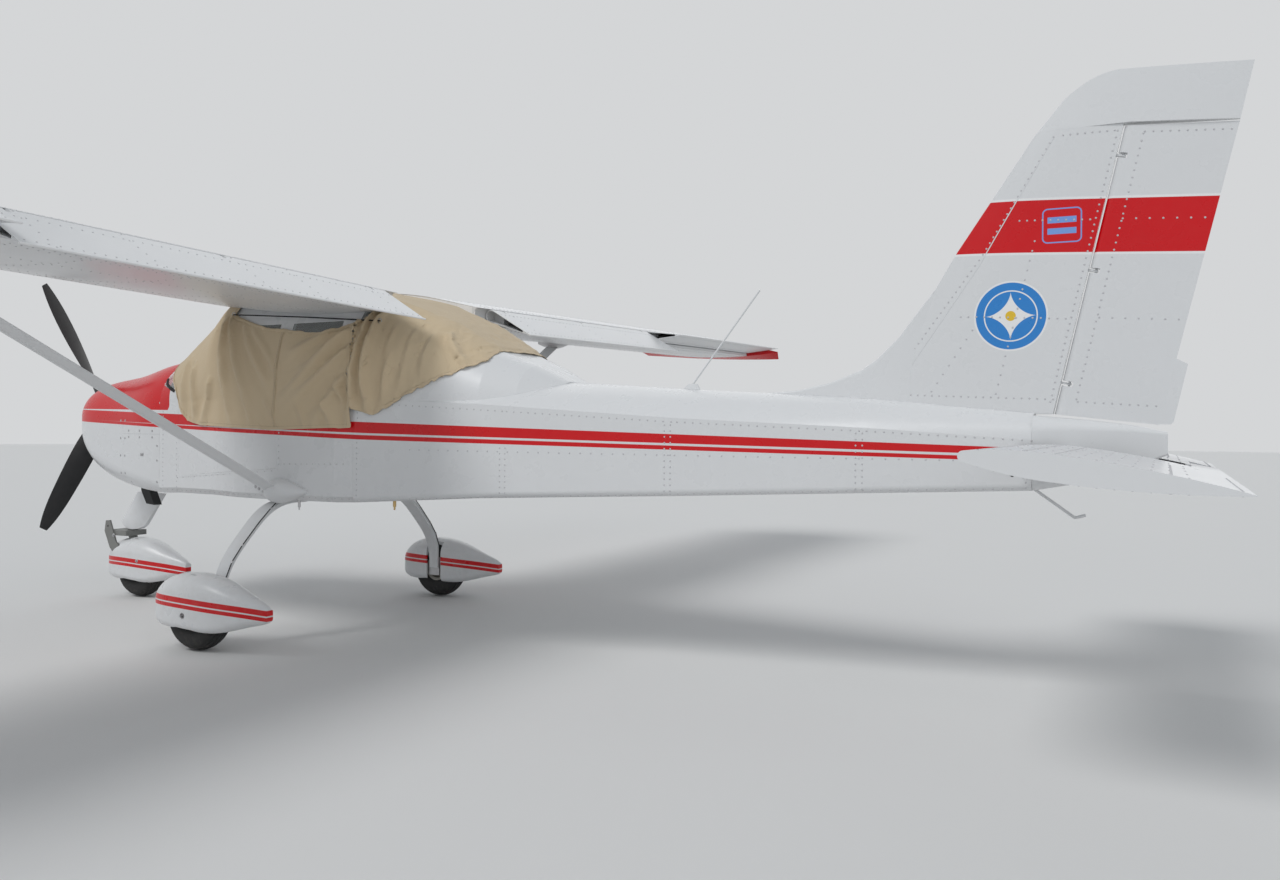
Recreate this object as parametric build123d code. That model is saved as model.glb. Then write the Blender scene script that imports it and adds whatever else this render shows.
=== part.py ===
from build123d import *
import math
import os

# A high-wing light aircraft with a metal airframe, parked on its tricycle gear.
# Stations run aft from the nose of the cowl, Y to starboard and Z up from the ground.
# The frame's origin is on the ground, under the middle of the overall length.

# Overall reach
HUB_FRONT = -190
FIN_TIP = 6252
ORIGIN_STATION = (HUB_FRONT + FIN_TIP) / 2

# Gaps between pieces
SEAM = 0.6          # between fixed panels that meet edge to edge
SEAT = 0.3          # between a piece and what carries it
RUNNING = 0.05      # radial, between a pin or shaft and its bore
CLEAR = 6.0         # between a moving piece and what it passes

# Wall thicknesses
COWL_WALL = 6
CABIN_WALL = 20
GLASS = 5
TAIL_WALL = 1.6
WING_WALL = 1.6
SURFACE_WALL = 1.6

# Wheels
TYRE_RADIUS = 178
TYRE_WIDTH = 126
WALL_RADIUS = 126   # where the tyre is widest
TREAD_RADIUS = 162  # at the tread's edges
TREAD_HALF = 46
RIM_RADIUS = 68
RIM_WIDTH = 104
HOLE_CIRCLE = 45    # radius of the circle of holes through a rim
AXLE_RADIUS = 12
AXLE_HEIGHT = TYRE_RADIUS
MAIN_STATION = 1840
MAIN_TRACK = 930    # from the centreline to the middle of the tyre
NOSE_STATION = 225

# Cowl and firewall
COWL_FRONT = 50
BOWL_SEAM = 630
FIREWALL = 1000
FIREWALL_THICKNESS = 8
COWL_SPLIT = 1025   # height of the seam between upper and lower cowl

# Cabin
DOOR_FRONT = 1165
DOOR_REAR = 1930
BELT = 1215         # height where the side turns in under the wing
ROOF_HALF = 440
CABIN_REAR = 2410

# Wing
CHORD = 1410
WING_NOSE = 1420    # station of the leading edge
WING_HEIGHT = 1750  # of the leading edge, carried to the centreline
DIHEDRAL = 1.35
INCIDENCE = 3.4
WING_ROOT = 350     # the skin runs in over the cabin side to here
FLAP_INNER = ROOF_HALF + 16
FLAP_OUTER = 2425
AILERON_INNER = FLAP_OUTER + 12
AILERON_OUTER = 4540
WING_END = 4548
TIP_END = 4650
HINGE_CHORD = 1122  # hinge line of flaps and ailerons, aft of the leading edge
HINGE_LIFT = 14     # and above the chord line
SURFACE_NOSE = 34   # nose radius of flaps and ailerons
FLAP_DROOP = 18
AILERON_REST = 6    # starboard up, port down

# Struts
STRUT_CHORD = 92
STRUT_THICKNESS = 34
STRUT_FOOT = (1930, 540, 745)
STRUT_TOP = (1830, 2300, 1690)

# Main legs
LEG_STATION = 1860
LEG_THICKNESS = 18

# Nose gear, raked along a line through these two points
RAKE_LOW = (150, 440)
RAKE_HIGH = (310, 650)
LEG_TUBE_RADIUS = 25
FORK_PLATE = 10
FORK_INSIDE = TYRE_WIDTH / 2 + 9

# Propeller
SHAFT_HEIGHT = 1182
PROP_STATION = -114
PROP_RADIUS = 857
SHAFT_RADIUS = 30
ENGINE_FRONT = 185
ENGINE_REAR = 740
ENGINE_HALF = 280
ENGINE_LOW = 885
ENGINE_HIGH = 1245

# Tail
TAIL_END = 5500     # rear frame of the fuselage
FAIRING_END = 5976
STAB_SPAN = 1450    # from the centreline to the tip
STAB_ROOT = 135
STAB_PIVOT = (5650, 980)
STAB_NOSE = 203     # ahead of the pivot
STAB_TAIL = 524     # behind the pivot
STAB_HALF_THICKNESS = 38
STAB_REST = 7       # trailing edge down
TORQUE_TUBE_RADIUS = 25
TAB_HALF_SPAN = 620
TAB_HINGE = 415     # behind the pivot
TAB_NOSE = 12
HINGE_LOW = (5601, 1138)
HINGE_HIGH = (5841, 2260)
RUDDER_NOSE_LOW = 27
RUDDER_NOSE_HIGH = 19

# Hinge fittings
PIN_RADIUS = 4
PLATE = 8
PIN_REACH = 14      # beyond each face of the plate

SIDES = ((-1, "left"), (1, "right"))

os.makedirs("parts", exist_ok=True)


def write(name, *solids):
    """Write one node, moved from stations to the frame of the part"""
    moved = [Pos(-ORIGIN_STATION, 0, 0) * solid for solid in solids]
    shape = moved[0] if len(moved) == 1 else Compound(moved)
    export_step(shape, "parts/" + name + ".step")


def other_side(shape):
    return mirror(shape, about=Plane.XZ)


def box(low, high):
    """A block from its lowest to its highest corner"""
    size = [b - a for a, b in zip(low, high)]
    middle = [(a + b) / 2 for a, b in zip(low, high)]
    return Pos(*middle) * Box(*size)


def rod(start, end, radius):
    """A round bar between two points"""
    along = Vector(end) - Vector(start)
    plane = Plane(origin=start, z_dir=along)
    return extrude(plane * Circle(radius), amount=along.length)


def profile(points):
    """A flat outline drawn in X and Z"""
    return make_face(Polyline(*points, close=True))


def across(sketch, start, end):
    """The outline in X and Z, filled from start to end in Y"""
    plane = Plane(origin=(0, start, 0), x_dir=(1, 0, 0), z_dir=(0, -1, 0))
    return extrude(plane * sketch, amount=start - end)


def side_cut(points, reach=1200):
    """A prism on a side-view outline, right through the object"""
    return across(profile(points), -reach, reach)


def round_ring(station, half, low, high, r_low, r_high):
    """A rounded box section across the body, as one closed wire"""
    corners = ((1, -1, r_low, -90), (1, 1, r_high, 0), (-1, 1, r_high, 90), (-1, -1, r_low, 180))
    arcs = []
    for side, level, radius, first in corners:
        y = side * (half - radius)
        z = low + radius if level < 0 else high - radius
        turns = [math.radians(first + step) for step in (0, 45, 90)]
        arcs.append([(station, y + radius * math.cos(t), z + radius * math.sin(t)) for t in turns])
    edges = []
    for index, arc in enumerate(arcs):
        edges.append(ThreePointArc(*arc))
        edges.append(Line(arc[2], arcs[(index + 1) % 4][0]))
    return Wire(edges)


def deck_ring(station, half, low, shoulder, deck, radius=30):
    """A flat-sided section with small lower corners and an arched deck"""
    reach = half - radius
    bend = radius * math.sqrt(0.5)
    right = ThreePointArc(
        (station, reach, low),
        (station, reach + bend, low + radius - bend),
        (station, half, low + radius),
    )
    left = ThreePointArc(
        (station, -half, low + radius),
        (station, -reach - bend, low + radius - bend),
        (station, -reach, low),
    )
    top = ThreePointArc((station, half, shoulder), (station, 0, deck), (station, -half, shoulder))
    edges = [
        Line((station, -reach, low), (station, reach, low)),
        right,
        Line((station, half, low + radius), (station, half, shoulder)),
        top,
        Line((station, -half, shoulder), (station, -half, low + radius)),
        left,
    ]
    return Wire(edges)


def cabin_ring(station, half, low, belt, cant_half, cant, roof_half, roof, grow=0):
    """A cabin section: upright side, then an arc through the rail over the door to the roof"""
    half += grow
    low -= grow
    cant_half += grow
    roof += grow
    bend = 30
    edges = [
        Line((station, bend - half, low), (station, half - bend, low)),
        Line((station, half - bend, low), (station, half, low + bend)),
        Line((station, half, low + bend), (station, half, belt)),
        ThreePointArc((station, half, belt), (station, cant_half, cant), (station, roof_half, roof)),
        Line((station, roof_half, roof), (station, -roof_half, roof)),
        ThreePointArc((station, -roof_half, roof), (station, -cant_half, cant), (station, -half, belt)),
        Line((station, -half, belt), (station, -half, low + bend)),
        Line((station, -half, low + bend), (station, bend - half, low)),
    ]
    return Wire(edges)


def skinned(rings, ruled):
    return Solid.make_loft(rings, ruled)


def fin_ring(height, front, crest, rear, nose, half_crest, half_rear):
    """A level section with a round nose, its thickest point at crest and a square rear edge"""
    ahead = front + nose
    flank = TangentArc((crest, half_crest, height), (ahead, nose, height), tangent=(-1, 0, 0))
    tail = TangentArc((crest, half_crest, height), (rear, half_rear, height), tangent=(1, 0, 0))
    flank_2 = TangentArc((crest, -half_crest, height), (ahead, -nose, height), tangent=(-1, 0, 0))
    tail_2 = TangentArc((crest, -half_crest, height), (rear, -half_rear, height), tangent=(1, 0, 0))
    tip = ThreePointArc((ahead, nose, height), (front, 0, height), (ahead, -nose, height))
    edge = Line((rear, half_rear, height), (rear, -half_rear, height))
    return Wire([tip, flank, tail, edge, tail_2, flank_2])


def touch_angle(hinge_x, hinge_z, nose, x, z, side):
    """Where a line to (x, z) touches the circle round a hinge line, as an angle"""
    return math.atan2(z - hinge_z, x - hinge_x) + side * math.acos(nose / math.hypot(x - hinge_x, z - hinge_z))


def control_section(hinge_x, hinge_z, nose, tail_x, tail_z, edge=1.5):
    """A control surface in X and Z: a nose round its hinge line, and flat sides to the tail"""
    def on_nose(turn):
        return (hinge_x + nose * math.cos(turn), hinge_z + nose * math.sin(turn))

    upper = on_nose(touch_angle(hinge_x, hinge_z, nose, tail_x, tail_z + edge, 1))
    lower = on_nose(touch_angle(hinge_x, hinge_z, nose, tail_x, tail_z - edge, -1))
    return make_face([
        ThreePointArc(upper, on_nose(math.pi), lower),
        Line(lower, (tail_x, tail_z - edge)),
        Line((tail_x, tail_z - edge), (tail_x, tail_z + edge)),
        Line((tail_x, tail_z + edge), upper),
    ])


TAIL_SOLID = 50     # length left solid at a control surface's trailing edge


def control_hollow(hinge_x, hinge_z, nose, tail_x, tail_z, wall):
    """The room inside a control surface, flat-sided, with its nose in flats"""
    share = TAIL_SOLID / (tail_x - hinge_x)
    end_x = tail_x - TAIL_SOLID
    end_z = tail_z + share * (hinge_z - tail_z)
    half = share * nose - wall / 2
    inner = nose - 2.5 * wall
    first = touch_angle(hinge_x, hinge_z, inner, end_x, end_z + half, 1)
    last = touch_angle(hinge_x, hinge_z, inner, end_x, end_z - half, -1) + 2 * math.pi
    turns = [first + (last - first) * step / 5 for step in range(6)]
    corners = [(hinge_x + inner * math.cos(t), hinge_z + inner * math.sin(t)) for t in turns]
    return profile(corners + [(end_x, end_z - half), (end_x, end_z + half)])


def hinge_fittings(points, axis, aft, reach, width, room):
    """Plates on the fixed side that carry pins, and the pockets they need in the moving piece"""
    fittings = []
    pockets = []
    for point in points:
        plane = Plane(origin=point, x_dir=aft, z_dir=axis)
        end = PIN_RADIUS + 4
        plate = Pos((end - reach) / 2, 0, 0) * Box(reach + end, width, PLATE)
        pin = Cylinder(PIN_RADIUS, PLATE + 2 * PIN_REACH)
        fittings.append(plane * (plate + pin))
        slot = Pos((room - 150) / 2, 0, 0) * Box(150 + room, 200, PLATE + 2 * CLEAR)
        bore = Cylinder(PIN_RADIUS + RUNNING, PLATE + 2 * PIN_REACH + 4)
        pockets.append(plane * (slot + bore))
    return fittings, pockets


# Cowl: station, half width, bottom, top, lower corner, upper corner
COWL_RINGS = (
    (50, 285, 1015, 1215, 80, 90),
    (120, 338, 905, 1292, 120, 170),
    (300, 388, 790, 1345, 130, 240),
    (630, 446, 718, 1398, 110, 300),
    (1000, 495, 700, 1432, 60, 350),
)


def cowl_body(inset):
    rings = []
    for station, half, low, high, r_low, r_high in COWL_RINGS:
        place = station + inset if station == COWL_FRONT else station
        rings.append(round_ring(place, half - inset, low + inset, high - inset,
                                r_low - inset, r_high - inset))
    return skinned(rings, False)


cowl_outside = cowl_body(0)
cowl_shell = cowl_outside - cowl_body(COWL_WALL)

# Intakes beside the shaft, the shaft's own hole and the scoop under it
rake = Vector(RAKE_HIGH[0] - RAKE_LOW[0], 0, RAKE_HIGH[1] - RAKE_LOW[1]).normalized()


def on_leg(height):
    """The point of the raked leg's axis at a height"""
    ratio = (height - RAKE_LOW[1]) / (RAKE_HIGH[1] - RAKE_LOW[1])
    return (RAKE_LOW[0] + ratio * (RAKE_HIGH[0] - RAKE_LOW[0]), 0, height)


face_plane = Plane(origin=(COWL_FRONT - 40, 0, SHAFT_HEIGHT), x_dir=(0, 1, 0), z_dir=(1, 0, 0))
SHAFT_HOLE = 62
intake_holes = [extrude(face_plane * Circle(SHAFT_HOLE), amount=120)]
for side, _ in SIDES:
    slot = Pos(side * 165, -25) * SlotOverall(150, 70)
    intake_holes.append(extrude(face_plane * slot, amount=120))
scoop = Pos(0, -122) * SlotOverall(260, 60)
intake_holes.append(extrude(face_plane * scoop, amount=100))
leg_hole = rod(on_leg(640), on_leg(860), LEG_TUBE_RADIUS + 25)

# Exhaust stub, a square tube that bends aft under the cowl
STUB_X = 388
STUB_WIDTH = 72
STUB_BEND = 676
STUB_Y = (-138, -84)
STUB_WALL = 4
stub_outline = (
    (STUB_X, ENGINE_LOW), (STUB_X, STUB_BEND), (STUB_X + 46, 598), (STUB_X + 46 + STUB_WIDTH, 591),
    (STUB_X + STUB_WIDTH, STUB_BEND), (STUB_X + STUB_WIDTH, ENGINE_LOW),
)
stub_hole = box((STUB_X - CLEAR, STUB_Y[0] - CLEAR, 620),
                (STUB_X + STUB_WIDTH + CLEAR, STUB_Y[1] + CLEAR, 880))

bowl_region = box((0, -600, 600), (BOWL_SEAM - SEAM / 2, 600, 1500))
nose_bowl = cowl_shell & bowl_region
for hole in intake_holes + [leg_hole, stub_hole]:
    nose_bowl -= hole
write("nose_bowl", nose_bowl)

rear_low = (BOWL_SEAM + SEAM / 2, -600)
rear_end = FIREWALL - SEAM
cowl_upper = cowl_shell & box((*rear_low, COWL_SPLIT + SEAM / 2), (rear_end, 600, 1500))
cowl_lower = cowl_shell & box((*rear_low, 600), (rear_end, 600, COWL_SPLIT - SEAM / 2))
write("cowl_upper", cowl_upper)
write("cowl_lower", cowl_lower)

# Firewall, engine block and the tubes that carry it
firewall = cowl_body(COWL_WALL + SEAT) & box(
    (FIREWALL - FIREWALL_THICKNESS - SEAM, -600, 600), (FIREWALL - SEAM, 600, 1500))
write("firewall", firewall)

engine = box((ENGINE_FRONT, -ENGINE_HALF, ENGINE_LOW), (ENGINE_REAR, ENGINE_HALF, ENGINE_HIGH))
SHAFT_DEPTH = 90
engine -= rod((ENGINE_FRONT - 5, 0, SHAFT_HEIGHT), (ENGINE_FRONT + SHAFT_DEPTH, 0, SHAFT_HEIGHT),
              SHAFT_RADIUS + RUNNING)
write("engine", engine)

firewall_front = FIREWALL - FIREWALL_THICKNESS - SEAM
mount_tubes = []
for side, _ in SIDES:
    for height in (ENGINE_LOW + 40, ENGINE_HIGH - 40):
        mount_tubes.append(rod((ENGINE_REAR, side * 200, height),
                               (firewall_front, side * 200, height), 14))
write("engine_mount", *mount_tubes)

stub_inside = (
    (STUB_X + STUB_WALL, ENGINE_LOW - STUB_WALL), (STUB_X + STUB_WALL, STUB_BEND),
    (STUB_X + 46 + STUB_WALL + 6, 580), (STUB_X + 46 + STUB_WIDTH, 580),
    (STUB_X + STUB_WIDTH - STUB_WALL, STUB_BEND), (STUB_X + STUB_WIDTH - STUB_WALL, ENGINE_LOW - STUB_WALL),
)
exhaust = across(profile(stub_outline), *STUB_Y)
exhaust -= across(profile(stub_inside), STUB_Y[0] + STUB_WALL, STUB_Y[1] - STUB_WALL)
write("exhaust_stub", exhaust)

# Propeller: blade sections by radius, chord and twist
BLADE_SECTIONS = (
    # radius, chord, thickness, twist
    (70, 60, 44, 60),
    (200, 118, 26, 42),
    (450, 128, 16, 25),
    (700, 104, 10, 17),
    (PROP_RADIUS, 46, 5, 14),
)


def blade_ring(radius, chord, thickness, twist):
    plane = Plane(origin=(0, 0, radius), x_dir=(0, 1, 0), z_dir=(0, 0, 1))
    front = ThreePointArc((-chord / 2, 0), (-chord / 10, thickness * 0.7), (chord / 2, 0))
    back = ThreePointArc((chord / 2, 0), (-chord / 10, -thickness * 0.3), (-chord / 2, 0))
    turned = [Rot(0, 0, twist) * edge for edge in (front, back)]
    return plane * Wire([turned[0], turned[1]])


blade = skinned([blade_ring(*row) for row in BLADE_SECTIONS], False)
at_shaft = Pos(PROP_STATION, 0, SHAFT_HEIGHT)
blades = []
for turn in (30, 150, 270):
    blades.append(at_shaft * (Rot(turn, 0, 0) * blade))
write("propeller_blades", *blades)

HUB_HALF = 34
hub_outline = [
    (HUB_FRONT, 0), (HUB_FRONT + 4, 26), (HUB_FRONT + 24, 56), (PROP_STATION - HUB_HALF, 70),
    (PROP_STATION + HUB_HALF, 72), (PROP_STATION + HUB_HALF, SHAFT_RADIUS),
    (ENGINE_FRONT + SHAFT_DEPTH - 4, SHAFT_RADIUS), (ENGINE_FRONT + SHAFT_DEPTH - 4, 0),
]
hub_face = make_face(Polyline(*[(x, 0, r) for x, r in hub_outline], close=True))
hub = Pos(0, 0, SHAFT_HEIGHT) * revolve(hub_face, axis=Axis.X)
for piece in blades:
    hub -= piece
write("propeller_hub", hub)

# Cabin: station, half width, bottom, belt, rail half width, rail height, roof half width, roof
CABIN_RINGS = (
    (FIREWALL, 495, 700, 1190, 420, 1360, 200, 1432),
    (1160, 507, 706, 1205, 440, 1440, 230, 1556),
    (1430, 532, 706, BELT, ROOF_HALF, 1655, 330, 1758),
    (1640, 550, 700, BELT, ROOF_HALF, 1665, 340, 1815),
    (1860, 546, 697, BELT, ROOF_HALF, 1665, 340, 1833),
    (2300, 530, 697, BELT, ROOF_HALF, 1655, 330, 1775),
    (CABIN_REAR, 515, 700, BELT, ROOF_HALF - 4, 1640, 320, 1745),
)


def cabin_body(grow):
    return skinned([cabin_ring(*row, grow) for row in CABIN_RINGS], True)


cabin_outside = cabin_body(0)
cabin_wall = cabin_outside - cabin_body(-CABIN_WALL)
pane_wall = cabin_outside - cabin_body(-GLASS)
cabin_seat = cabin_body(SEAT)

# Side-view outlines of the windscreen, door and windows
SCREEN = ((990, 1300), (1110, 1262), (1400, 1625), (1425, 1640), (1425, 1900), (990, 1900))
DOOR = ((DOOR_FRONT, 802), (DOOR_REAR, 858), (DOOR_REAR, 1632), (1440, 1632), (DOOR_FRONT, 1285))
DOOR_PANE = ((1235, 1262), (1885, 1262), (1885, 1600), (1462, 1600), (1235, 1330))
REAR_PANE = ((1975, 1262), (2350, 1262), (2310, 1600), (1975, 1600))


def inset_cut(points, gap, reach=1200):
    face = profile(points)
    return across(offset(face, amount=gap, kind=Kind.INTERSECTION), -reach, reach)


windscreen = pane_wall & inset_cut(SCREEN, -SEAM)
windscreen &= box((FIREWALL + SEAM, -800, 1000), (1500, 800, 2000))
cabin_shell = cabin_wall - side_cut(SCREEN)
write("windscreen", windscreen)

door_cut = side_cut(DOOR)
cabin_shell -= door_cut
cabin_shell -= side_cut(REAR_PANE)
door_ring = cabin_wall & inset_cut(DOOR, -SEAM)
door_ring -= side_cut(DOOR_PANE)
panes = pane_wall & inset_cut(DOOR_PANE, -SEAM)
rear_panes = pane_wall & inset_cut(REAR_PANE, -SEAM)
half_spaces = {-1: box((900, -900, 500), (2600, -50, 2000)), 1: box((900, 50, 500), (2600, 900, 2000))}
for side, name in SIDES:
    write("door_" + name, door_ring & half_spaces[side])
write("side_windows", *[pane & half_spaces[side] for side, _ in SIDES for pane in (panes, rear_panes)])

# Dome behind the cabin, with the cabin's columns
DOME_RINGS = (
    (CABIN_REAR + SEAM, 515, 1150, BELT, ROOF_HALF - 4, 1640, 320, 1745),
    (2800, 462, 1140, 1210, 388, 1480, 220, 1592),
    (3070, 402, 1130, 1200, 328, 1362, 150, 1440),
    (3230, 330, 1120, 1190, 264, 1318, 110, 1376),
    (3390, 215, 1110, 1170, 165, 1262, 70, 1298),
)


def dome_body(grow):
    return skinned([cabin_ring(*row, grow) for row in DOME_RINGS], True)


# Wing section, from points along a chord of one: rear of the crown, crest, shoulder, nose, chin, belly
def foil(chord, depth=1.0):
    rear, crest, shoulder, nose, chin, belly = (
        (0.62 * chord, 0.0651 * chord * depth), (0.33 * chord, 0.090 * chord * depth),
        (0.05 * chord, 0.0475 * chord * depth), (0, 0),
        (0.02 * chord, -0.030 * chord * depth), (0.20 * chord, -0.0415 * chord * depth),
    )
    tail_up = (chord, 1.5)
    tail_low = (chord, -1.5)
    straight = Line(rear, tail_up)
    back = TangentArc(crest, rear, tangent=(1, 0))
    front = TangentArc(crest, shoulder, tangent=(-1, 0))
    lip = TangentArc(shoulder, nose, tangent=front % 1)
    jaw = TangentArc(nose, chin, tangent=lip % 1)
    throat = TangentArc(chin, belly, tangent=jaw % 1)
    under = TangentArc(belly, tail_low, tangent=throat % 1)
    return make_face([straight, back, front, lip, jaw, throat, under, Line(tail_low, tail_up)])


on_wing = Pos(WING_NOSE, 0, WING_HEIGHT) * Rot(DIHEDRAL, 0, 0) * Rot(0, INCIDENCE, 0)
wing_foil = foil(CHORD)
cove = Pos(HINGE_CHORD, HINGE_LIFT) * Circle(SURFACE_NOSE + CLEAR)
LIP = 12            # the skins overhang the cove to here, ahead of the hinge line


def aft_of(x):
    """All that lies aft of x, on the section's sketch"""
    return Pos(x + CHORD / 2, 0) * Rectangle(CHORD, CHORD / 2)


wing_profile = wing_foil - cove - aft_of(HINGE_CHORD - LIP)
box_profile = offset(wing_foil, amount=-WING_WALL)
box_profile -= aft_of(HINGE_CHORD - SURFACE_NOSE - CLEAR - LIP)
wing_profile -= box_profile
wing_solid = on_wing * across(wing_profile, WING_ROOT, WING_END) - cabin_seat - dome_body(SEAT)
wing_envelope = on_wing * across(wing_foil, WING_ROOT, TIP_END)

hinge_plate_reach = SURFACE_NOSE + CLEAR + 4
POCKET_ROOM = 32    # aft of the hinge line


def wing_hinges(stations):
    points = [(HINGE_CHORD, y, HINGE_LIFT) for y in stations]
    return hinge_fittings(points, (0, 1, 0), (1, 0, 0), hinge_plate_reach, 26, POCKET_ROOM)


flap_fittings, flap_pockets = wing_hinges((560, 1440, 2320))
aileron_fittings, aileron_pockets = wing_hinges((2540, 3490, 4440))

surface_profile = control_section(HINGE_CHORD, HINGE_LIFT, SURFACE_NOSE, CHORD, 0)
surface_hollow = control_hollow(HINGE_CHORD, HINGE_LIFT, SURFACE_NOSE, CHORD, 0, SURFACE_WALL)


def deflected(sketch, angle):
    """Turn a section about the hinge line, the trailing edge going down"""
    centre = Pos(HINGE_CHORD, HINGE_LIFT)
    return centre * Rot(0, 0, -angle) * Pos(-HINGE_CHORD, -HINGE_LIFT) * sketch


def control_surface(inner, outer, angle, pockets):
    body = across(deflected(surface_profile, angle), inner, outer)
    hollow = across(deflected(surface_hollow, angle), inner - 1, outer + 1)
    for pocket in pockets:
        y = pocket.center().Y
        hollow -= box((HINGE_CHORD - 60, y - 26, -200), (HINGE_CHORD + 40, y + 26, 200))
    body -= hollow
    for pocket in pockets:
        body -= pocket
    return on_wing * body


for side, name in SIDES:
    wing = wing_solid
    flap = control_surface(FLAP_INNER, FLAP_OUTER, FLAP_DROOP, flap_pockets)
    aileron = control_surface(AILERON_INNER, AILERON_OUTER, -side * AILERON_REST, aileron_pockets)
    if side < 0:
        wing, flap, aileron = [other_side(shape) for shape in (wing, flap, aileron)]
    write("wing_" + name, wing)
    write("flap_" + name, flap)
    write("aileron_" + name, aileron)

cove_cut = across(wing_profile, WING_ROOT, WING_END)
fittings = [on_wing * (fitting - cove_cut) for fitting in flap_fittings + aileron_fittings]
write("surface_hinges", *fittings, *[other_side(fitting) for fitting in fittings])

# Wing tips, small and drooped
tip_start = WING_END + SEAM
TIP_DROOP = 62
tip_plane_in = Plane(origin=(0, tip_start, 0), x_dir=(1, 0, 0), z_dir=(0, -1, 0))
tip_plane_out = Plane(origin=(40, TIP_END, -TIP_DROOP), x_dir=(1, 0, 0), z_dir=(0, -1, 0))
tip_inner = tip_plane_in * wing_foil
tip_outer = tip_plane_out * scale(wing_foil, by=(0.955, 0.3, 1))
wing_tip = on_wing * loft([tip_inner.face(), tip_outer.face()], ruled=True)
write("wing_tips", other_side(wing_tip), wing_tip)

# Struts and the fairings at their ends
strut_axis = Vector(*STRUT_TOP) - Vector(*STRUT_FOOT)
strut_start = Vector(*STRUT_FOOT) - strut_axis.normalized() * 60
strut_plane = Plane(origin=strut_start, x_dir=(1, 0, 0), z_dir=strut_axis)
half_chord = STRUT_CHORD / 2
half_thick = STRUT_THICKNESS / 2
strut_section = make_face([
    ThreePointArc((-half_chord * 0.2, half_thick), (-half_chord, 0), (-half_chord * 0.2, -half_thick)),
    Line((-half_chord * 0.2, -half_thick), (half_chord, -1.5)),
    Line((half_chord, -1.5), (half_chord, 1.5)),
    Line((half_chord, 1.5), (-half_chord * 0.2, half_thick)),
])
strut_full = extrude(strut_plane * strut_section, amount=strut_axis.length + 120)
strut_full -= wing_envelope
strut_full -= cabin_seat
strut = max(strut_full.solids(), key=lambda solid: solid.volume)

FOOT_RINGS = (
    # station, half height, reach from the side
    (1852, 12, 26), (1900, 52, 66), (1960, 62, 76), (2040, 44, 60), (2130, 9, 20),
)


def fairing_ring(station, half, reach, y, z):
    arc = ThreePointArc((station, y, z - half), (station, y + reach, z), (station, y, z + half))
    return Wire([arc, Line((station, y, z + half), (station, y, z - half))])


foot_y = STRUT_FOOT[1] - 12
foot = skinned([fairing_ring(x, half, reach, foot_y, STRUT_FOOT[2]) for x, half, reach in FOOT_RINGS],
               False)
foot -= cabin_seat
foot -= strut_full
foot = max(foot.solids(), key=lambda solid: solid.volume)

TOP_RINGS = (
    # aft of the strut's axis, half width, drop below the wing
    (-130, 10, 8), (-60, 46, 34), (0, 56, 44), (90, 40, 30), (220, 8, 6),
)


def cap_ring(station, half, drop, y, z):
    arc = ThreePointArc((station, y - half, z), (station, y, z - drop - 20), (station, y + half, z))
    return Wire([arc, Line((station, y + half, z), (station, y - half, z))])


strut_meet = Vector(*STRUT_TOP)
strut_cap = skinned([cap_ring(strut_meet.X + x, half, drop, strut_meet.Y, strut_meet.Z + 45)
                     for x, half, drop in TOP_RINGS], False)
strut_cap -= wing_envelope
strut_cap -= strut_full
strut_cap = max(strut_cap.solids(), key=lambda solid: solid.volume)
for side, name in SIDES:
    write("strut_" + name, strut if side > 0 else other_side(strut))
write("strut_fairings", foot, other_side(foot), strut_cap, other_side(strut_cap))

# Rear fuselage: station, half width, bottom, shoulder, deck
FUSELAGE_RINGS = (
    (CABIN_REAR + SEAM, 515, 700, 1210, 1330),
    (3080, 428, 740, 1184, 1318),
    (4040, 303, 777, 1121, 1255),
    (4870, 195, 812, 1082, 1208),
    (TAIL_END, 113, 838, 1039, 1150),
)


def fuselage_body(wall):
    rings = []
    for station, half, low, shoulder, deck in FUSELAGE_RINGS:
        place = station
        if wall and station == TAIL_END:
            place = station - wall
        if wall and station < CABIN_REAR + 2:
            place = station - wall
        rings.append(deck_ring(place, half - wall, low + wall, shoulder - wall * 0.4, deck - wall))
    return skinned(rings, True)


fuselage_outside = fuselage_body(0)
rear_fuselage = fuselage_outside - fuselage_body(TAIL_WALL)
write("rear_fuselage", rear_fuselage)

# Upper rear cabin: the wrap-round rear window and the dome it sits in
dome_wall = dome_body(0) - dome_body(-COWL_WALL) - fuselage_outside
PANE_OUTLINE = ((CABIN_REAR - 20, 1330), (2600, 1330), (2990, 1405), (2990, 1800), (CABIN_REAR - 20, 1800))
rear_window = dome_wall & inset_cut(PANE_OUTLINE, -SEAM)
cabin_fairing = dome_wall - side_cut(PANE_OUTLINE)
rear_window = max(rear_window.solids(), key=lambda solid: solid.volume)
cabin_fairing = max(cabin_fairing.solids(), key=lambda solid: solid.volume)
write("rear_window", rear_window)
write("cabin_fairing", cabin_fairing)
write("cabin_shell", cabin_shell)

# Fairing behind the rear frame, crossed by the stabilator's tube
FAIRING_RINGS = (
    # station, half width, bottom, top
    (TAIL_END + SEAM, 112, 838, 1136),
    (5700, 74, 876, 1118),
    (5850, 46, 925, 1100),
    (FAIRING_END, 18, 986, 1073),
)
tail_fairing = skinned(
    [round_ring(x, half, low, high, half * 0.4, half * 0.6) for x, half, low, high in FAIRING_RINGS], True)
tube_bore = rod((STAB_PIVOT[0], -200, STAB_PIVOT[1]), (STAB_PIVOT[0], 200, STAB_PIVOT[1]),
                TORQUE_TUBE_RADIUS + RUNNING)
tail_fairing -= tube_bore
write("tail_fairing", tail_fairing)

# Fin, built level by level on the rudder's hinge line
hinge_lean = (HINGE_HIGH[0] - HINGE_LOW[0]) / (HINGE_HIGH[1] - HINGE_LOW[1])


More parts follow.
